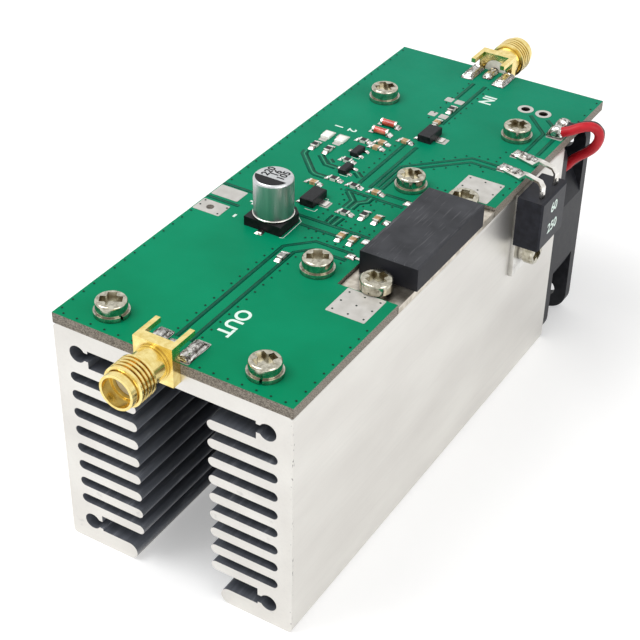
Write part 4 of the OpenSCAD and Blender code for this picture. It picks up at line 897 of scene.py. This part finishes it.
def ring_pad(x, y):
    """A flat ring round a cable hole."""
    clear_selection()
    bpy.ops.mesh.primitive_circle_add(vertices=40, radius=RING_INNER * MM,
                                      location=metres(x, y, BOARD_TOP))
    ring = apply_place(bpy.context.object)
    bpy.ops.object.mode_set(mode="EDIT")
    bpy.ops.mesh.select_all(action="SELECT")
    bpy.ops.mesh.extrude_edges_move()
    share = RING_OUTER / RING_INNER
    bpy.ops.transform.resize(value=(share, share, 1), center_override=metres(x, y, BOARD_TOP))
    bpy.ops.mesh.select_all(action="SELECT")
    bpy.ops.mesh.normals_make_consistent(inside=False)
    bpy.ops.object.mode_set(mode="OBJECT")
    wall = ring.modifiers.new("wall", "SOLIDIFY")
    wall.thickness = RING_HEIGHT * MM
    wall.offset = 1
    bpy.ops.object.modifier_apply(modifier=wall.name)
    return ring


ring_places = [(9.84, 48.8), (13.2, 48.8)]
on_amplifier(joined("hole_rings", [ring_pad(*place) for place in ring_places]), pads_finish)
SUPPLY_HOLE_RADIUS = 0.62
SUPPLY_HOLE_RISE = 0.02
supply_hole_places = [(-17.52, -8, via_z + SUPPLY_HOLE_RISE, 0)]
hole_brown = mottled("hole_brown", paint(112, 106, 98), paint(74, 68, 60), rough=0.5, grain_mm=0.4,
                     sockets=DULL)
on_amplifier(copies("supply_hole", plated_hole(SUPPLY_HOLE_RADIUS), supply_hole_places), hole_brown)

# Solder at the chip parts: a mound at each end that climbs towards the part
chip_places = [
    (-14.08, 17.6, 90), (-11.44, 17.52, 90), (-5.68, 9.68, 0), (-1.84, 9.52, 0), (-6.96, 16, 0),
    (-8, 23.2, 0), (-0.8, 41.36, 90), (1.04, 1.68, 0), (4, 2.8, 90), (-0.48, -13.92, 90),
    (-7.84, 6.96, 0), (-5.12, 22.32, 0), (-5.12, 24.24, 0), (-2.08, 26.8, 0), (-0.72, 35.6, 90),
    (4.08, -4.4, 90), (6.16, -4.4, 90), (6.32, 2.8, 90), (2.08, 9.6, 0),
]
CHIP_SOLDER_REACH = 1.2
DIODE_SOLDER_REACH = 1.7


def end_places(places, reach):
    """Places at both ends of parts, each turned so that +X points away from the part."""
    ends = []
    for x, y, turn in places:
        for half_turn in (0, 180):
            angle = math.radians(turn + half_turn)
            ends.append((x + reach * math.cos(angle), y + reach * math.sin(angle), BOARD_TOP,
                         turn + half_turn))
    return ends


solder_at("chip_solder", solder_mound(1, 1.15, 0.4, top=(0.35, 0.62), lean=-0.26),
          end_places(chip_places, CHIP_SOLDER_REACH))
diode_places = [(-6.96, 27.2, 0), (-7.04, 30.32, 0)]
solder_at("diode_solder", solder_mound(1.1, 1.4, 0.55, top=(0.4, 0.6), lean=-0.25),
          end_places(diode_places, DIODE_SOLDER_REACH))

# Solder at the small leads: places and turns point away from each body
TAB_LEAD_STEPS = (-1.5, 0, 1.5)
TRANSISTOR_LEAD_STEPS = (-0.95, 0.95)
TRANSISTOR_LEAD_REACH = 1.25
tab_lead_rows = [(-6.85, 2.4), (-1.15, 30.55)]
transistor_middles = [(-5.6, 13.3), (-6.9, 19.3)]
small_lead_places = [(x, y + step, BOARD_TOP, 180) for x, y in tab_lead_rows for step in TAB_LEAD_STEPS]
for x, y in transistor_middles:
    small_lead_places += [(x - TRANSISTOR_LEAD_REACH, y, BOARD_TOP, 180)]
    small_lead_places += [(x + TRANSISTOR_LEAD_REACH, y + step, BOARD_TOP, 0)
                          for step in TRANSISTOR_LEAD_STEPS]
solder_at("small_lead_solder", solder_mound(0.95, 0.75, 0.34, top=(0.5, 0.6), lean=-0.12),
          small_lead_places)
module_lead_places = [(8.1, y, BOARD_TOP, 180) for y in (-8.43, -3.75, 2.64, 9.46)]
solder_at("module_lead_solder", solder_mound(1.8, 1.35, 0.45, top=(0.6, 0.5), lean=-0.15),
          module_lead_places)
terminal_places = [(-6.95, -6.15 + step, BOARD_TOP, turn) for step, turn in ((-4, -90), (4, 90))]
solder_at("capacitor_solder", solder_mound(1.2, 1.4, 0.3, top=(0.5, 0.6), lean=-0.15), terminal_places)

# Solder at the jacks: a low mound on each leg pad, and one over each centre contact's tail
jack_pad_places = [
    (-3.8, -40.4, BOARD_TOP, -90), (2.05, -40.2, BOARD_TOP, -90),
    (-4.2, 56.2, BOARD_TOP, 90), (1.92, 56.3, BOARD_TOP, 90),
]
solder_at("jack_leg_solder", solder_mound(5.3, 2.4, 0.7, top=(0.75, 0.6), lean=0.3, rough=0.16),
          jack_pad_places)
jack_tail_places = [(-1.15, -41.2, BOARD_TOP, -90), (-1.15, 57.2, BOARD_TOP, 90)]
solder_at("jack_tail_solder", solder_mound(3.8, 1.8, 0.8, top=(0.75, 0.6), lean=0.15, rough=0.1),
          jack_tail_places)

# Solder at the thermostat's feet and at the ends of the fan leads
foot_places = [(16.9, 33.1, BOARD_TOP, 172), (16.9, 27.8, BOARD_TOP, 172)]
solder_at("thermostat_solder", solder_mound(4.4, 2.2, 0.6, top=(0.7, 0.55), lean=0.15, rough=0.12),
          foot_places)
lead_end_places = [(18.1, 42.7, BOARD_TOP, 4), (18.1, 45.5, BOARD_TOP, 0)]
solder_at("fan_lead_solder", solder_mound(3.2, 2.2, 2, top=(0.55, 0.75), lean=0.4, rough=0.08),
          lead_end_places)

# Printing on the board: plain words and signs, and outlines round some parts
SILK_WIDTH = 0.17
WORD_SIZE = 3.2
SIGN_SIZE = 2.9
DIGIT_SIZE = 2.1
silk_paths = [
    [(-5.25, -2.3), (-3.4, -3.9), (-3.2, -9.35), (-3.75, -9.55)],
    [(-3.8, 4), (-3.2, 4), (-3.2, 3.12)],
    [(-5.04, -0.28), (-3.2, -0.28), (-3.2, 0.56)],
    [(-7.12, 17.68), (-5.76, 17.68), (-5.76, 18.16)],
    [(-5.84, 11.68), (-4.48, 11.68), (-4.48, 12.16)],
]
on_amplifier(flat_lines("silk_outlines", silk_paths, SILK_WIDTH), silk)
board_words = [
    label("OUT", 2.85, -31.5, WORD_SIZE), label("IN", 2.65, 48.2, WORD_SIZE),
    label("+", -12.7, -3, SIGN_SIZE), label("-", -12.7, -8, SIGN_SIZE),
    label("1", -14.3, 25.6, DIGIT_SIZE), label("2", -11.7, 25.6, DIGIT_SIZE),
]
on_amplifier(joined("board_words", board_words), silk)

# Printing on the capacitor: a dark segment on its negative side, and plain numbers
can_low, can_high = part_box("capacitor_can")
CAN_X = (can_low.x + can_high.x) / 2 / MM
CAN_Y = (can_low.y + can_high.y) / 2 / MM
CAN_TOP = can_high.z / MM
CAN_R = (can_high.x - can_low.x) / 2 / MM
CAN_PRINT_R = CAN_R - 0.3
CAN_PRINT_HEIGHT = 0.03
CAN_NUMBER_SIZE = 1.75
CAN_NUMBER_TURN = (0, 0, 90)
BASE_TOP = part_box("capacitor_base")[1].z / MM
CURL_R = 0.16
CURL_STEPS = 72
CURL_WELD = 0.0016
CHORD_Y = -0.9


def can_segment():
    """The part of a disc beyond a chord, cut from a thin drum."""
    clear_selection()
    bpy.ops.mesh.primitive_cylinder_add(vertices=64, radius=CAN_PRINT_R * MM,
                                        depth=CAN_PRINT_HEIGHT * MM)
    disc = bpy.context.object
    bpy.ops.object.mode_set(mode="EDIT")
    bpy.ops.mesh.select_all(action="SELECT")
    bpy.ops.mesh.bisect(plane_co=metres(0, CHORD_Y, 0), plane_no=(0, 1, 0), use_fill=True,
                        clear_outer=True)
    bpy.ops.object.mode_set(mode="OBJECT")
    disc.location = metres(CAN_X, CAN_Y, CAN_TOP)
    return disc


def can_curl():
    """The bright rolled rim at the foot of the can: a small round profile spun about the can's axis."""
    clear_selection()
    bpy.ops.mesh.primitive_circle_add(vertices=10, radius=CURL_R * MM, rotation=(math.pi / 2, 0, 0),
                                      location=metres(CAN_X + CAN_R, CAN_Y, BASE_TOP + CURL_R))
    rim = apply_place(bpy.context.object)
    bpy.ops.object.mode_set(mode="EDIT")
    bpy.ops.mesh.select_all(action="SELECT")
    bpy.ops.mesh.spin(steps=CURL_STEPS, angle=2 * math.pi, center=metres(CAN_X, CAN_Y, 0),
                      axis=(0, 0, 1))
    bpy.ops.mesh.select_all(action="SELECT")
    bpy.ops.mesh.remove_doubles(threshold=CURL_WELD * MM)
    bpy.ops.mesh.normals_make_consistent(inside=False)
    bpy.ops.object.mode_set(mode="OBJECT")
    bpy.ops.object.shade_smooth()
    return joined("capacitor_curl", [rim])


on_amplifier(can_curl(), tin)
can_lines = [("220", -1.35, 0.75), ("16", 0, 0.85), ("105", 1.35, 0.75)]
can_print = [joined("can_segment", [can_segment()])]
for number, across, along in can_lines:
    can_print.append(label(number, CAN_X + across, CAN_Y + along, CAN_NUMBER_SIZE, CAN_TOP,
                           CAN_NUMBER_TURN))
on_amplifier(joined("capacitor_print", can_print), print_black())

# Printing on the thermostat's face: two plain numbers
thermo_low, thermo_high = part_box("thermostat_body")
THERMO_FACE = thermo_high.x / MM
THERMO_Y = (thermo_low.y + thermo_high.y) / 2 / MM
THERMO_Z = (thermo_low.z + thermo_high.z) / 2 / MM
THERMO_NUMBER_SIZE = 2.4
THERMO_NUMBER_TURN = (90, 0, 90)
thermo_lines = [("60", 2), ("250", -1.6)]
thermo_words = [label(number, THERMO_FACE, THERMO_Y, THERMO_NUMBER_SIZE, THERMO_Z + rise,
                      THERMO_NUMBER_TURN)
                for number, rise in thermo_lines]
on_amplifier(joined("thermostat_number", thermo_words), silk)


# Stage: pale floor, white surroundings and soft studio light

def seen_directly(tree):
    """1 for rays from the camera and for mirror and glass rays, 0 for the light on the object."""
    path = tree.nodes.new("ShaderNodeLightPath")
    total = path.outputs["Is Camera Ray"]
    for ray in ("Is Glossy Ray", "Is Transmission Ray"):
        add = tree.nodes.new("ShaderNodeMath")
        add.operation = "MAXIMUM"
        tree.links.new(total, add.inputs[0])
        tree.links.new(path.outputs[ray], add.inputs[1])
        total = add.outputs["Value"]
    return total


WORLD_LIGHT = 0.62
world = bpy.data.worlds.new("studio_white")
bpy.context.scene.world = world
world.use_nodes = True
world_tree = world.node_tree
backdrop = world_tree.nodes["Background"]
backdrop.inputs["Color"].default_value = (1, 1, 1, 1)
world_tree.links.new(spread_range(world_tree, seen_directly(world_tree), WORLD_LIGHT, 1.0),
                     backdrop.inputs["Strength"])

FLOOR_SIZE = 4.0
FLOOR_WHITE = 0.8
FLOOR_LIFT = 0.32
FLOOR_ROUGHNESS = 0.9
FLOOR_GAP = 0.00005
clear_selection()
bpy.ops.mesh.primitive_plane_add(size=FLOOR_SIZE, location=(0, 0, -FLOOR_GAP))
floor = bpy.context.object
floor.name = "studio_floor"
floor_finish = bpy.data.materials.new("studio_floor")
floor_finish.use_nodes = True
floor_tree = floor_finish.node_tree
floor_shader = floor_tree.nodes["Principled BSDF"]
floor_shader.inputs["Base Color"].default_value = grey(FLOOR_WHITE)
floor_shader.inputs["Roughness"].default_value = FLOOR_ROUGHNESS
floor_shader.inputs["Specular IOR Level"].default_value = 0.0
floor_shader.inputs["Emission Color"].default_value = (1, 1, 1, 1)
floor_tree.links.new(spread_range(floor_tree, seen_directly(floor_tree), 0.0, FLOOR_LIFT),
                     floor_shader.inputs["Emission Strength"])
floor.data.materials.append(floor_finish)


def soft_lamp(name, place, target, size, power):
    """A square lamp that looks at a target."""
    data = bpy.data.lights.new(name, "AREA")
    data.size = size
    data.energy = power
    lamp = bpy.data.objects.new(name, data)
    lamp.location = place
    lamp.rotation_euler = (Vector(target) - Vector(place)).to_track_quat("-Z", "Y").to_euler()
    bpy.context.collection.objects.link(lamp)


MIDDLE = (0, 0, 0.025)
soft_lamp("key_lamp", (-0.28, -0.2, 0.6), MIDDLE, size=0.4, power=2.4)
soft_lamp("side_lamp", (0.56, -0.16, 0.28), MIDDLE, size=0.4, power=1.2)

bpy.context.scene.view_settings.view_transform = "Standard"
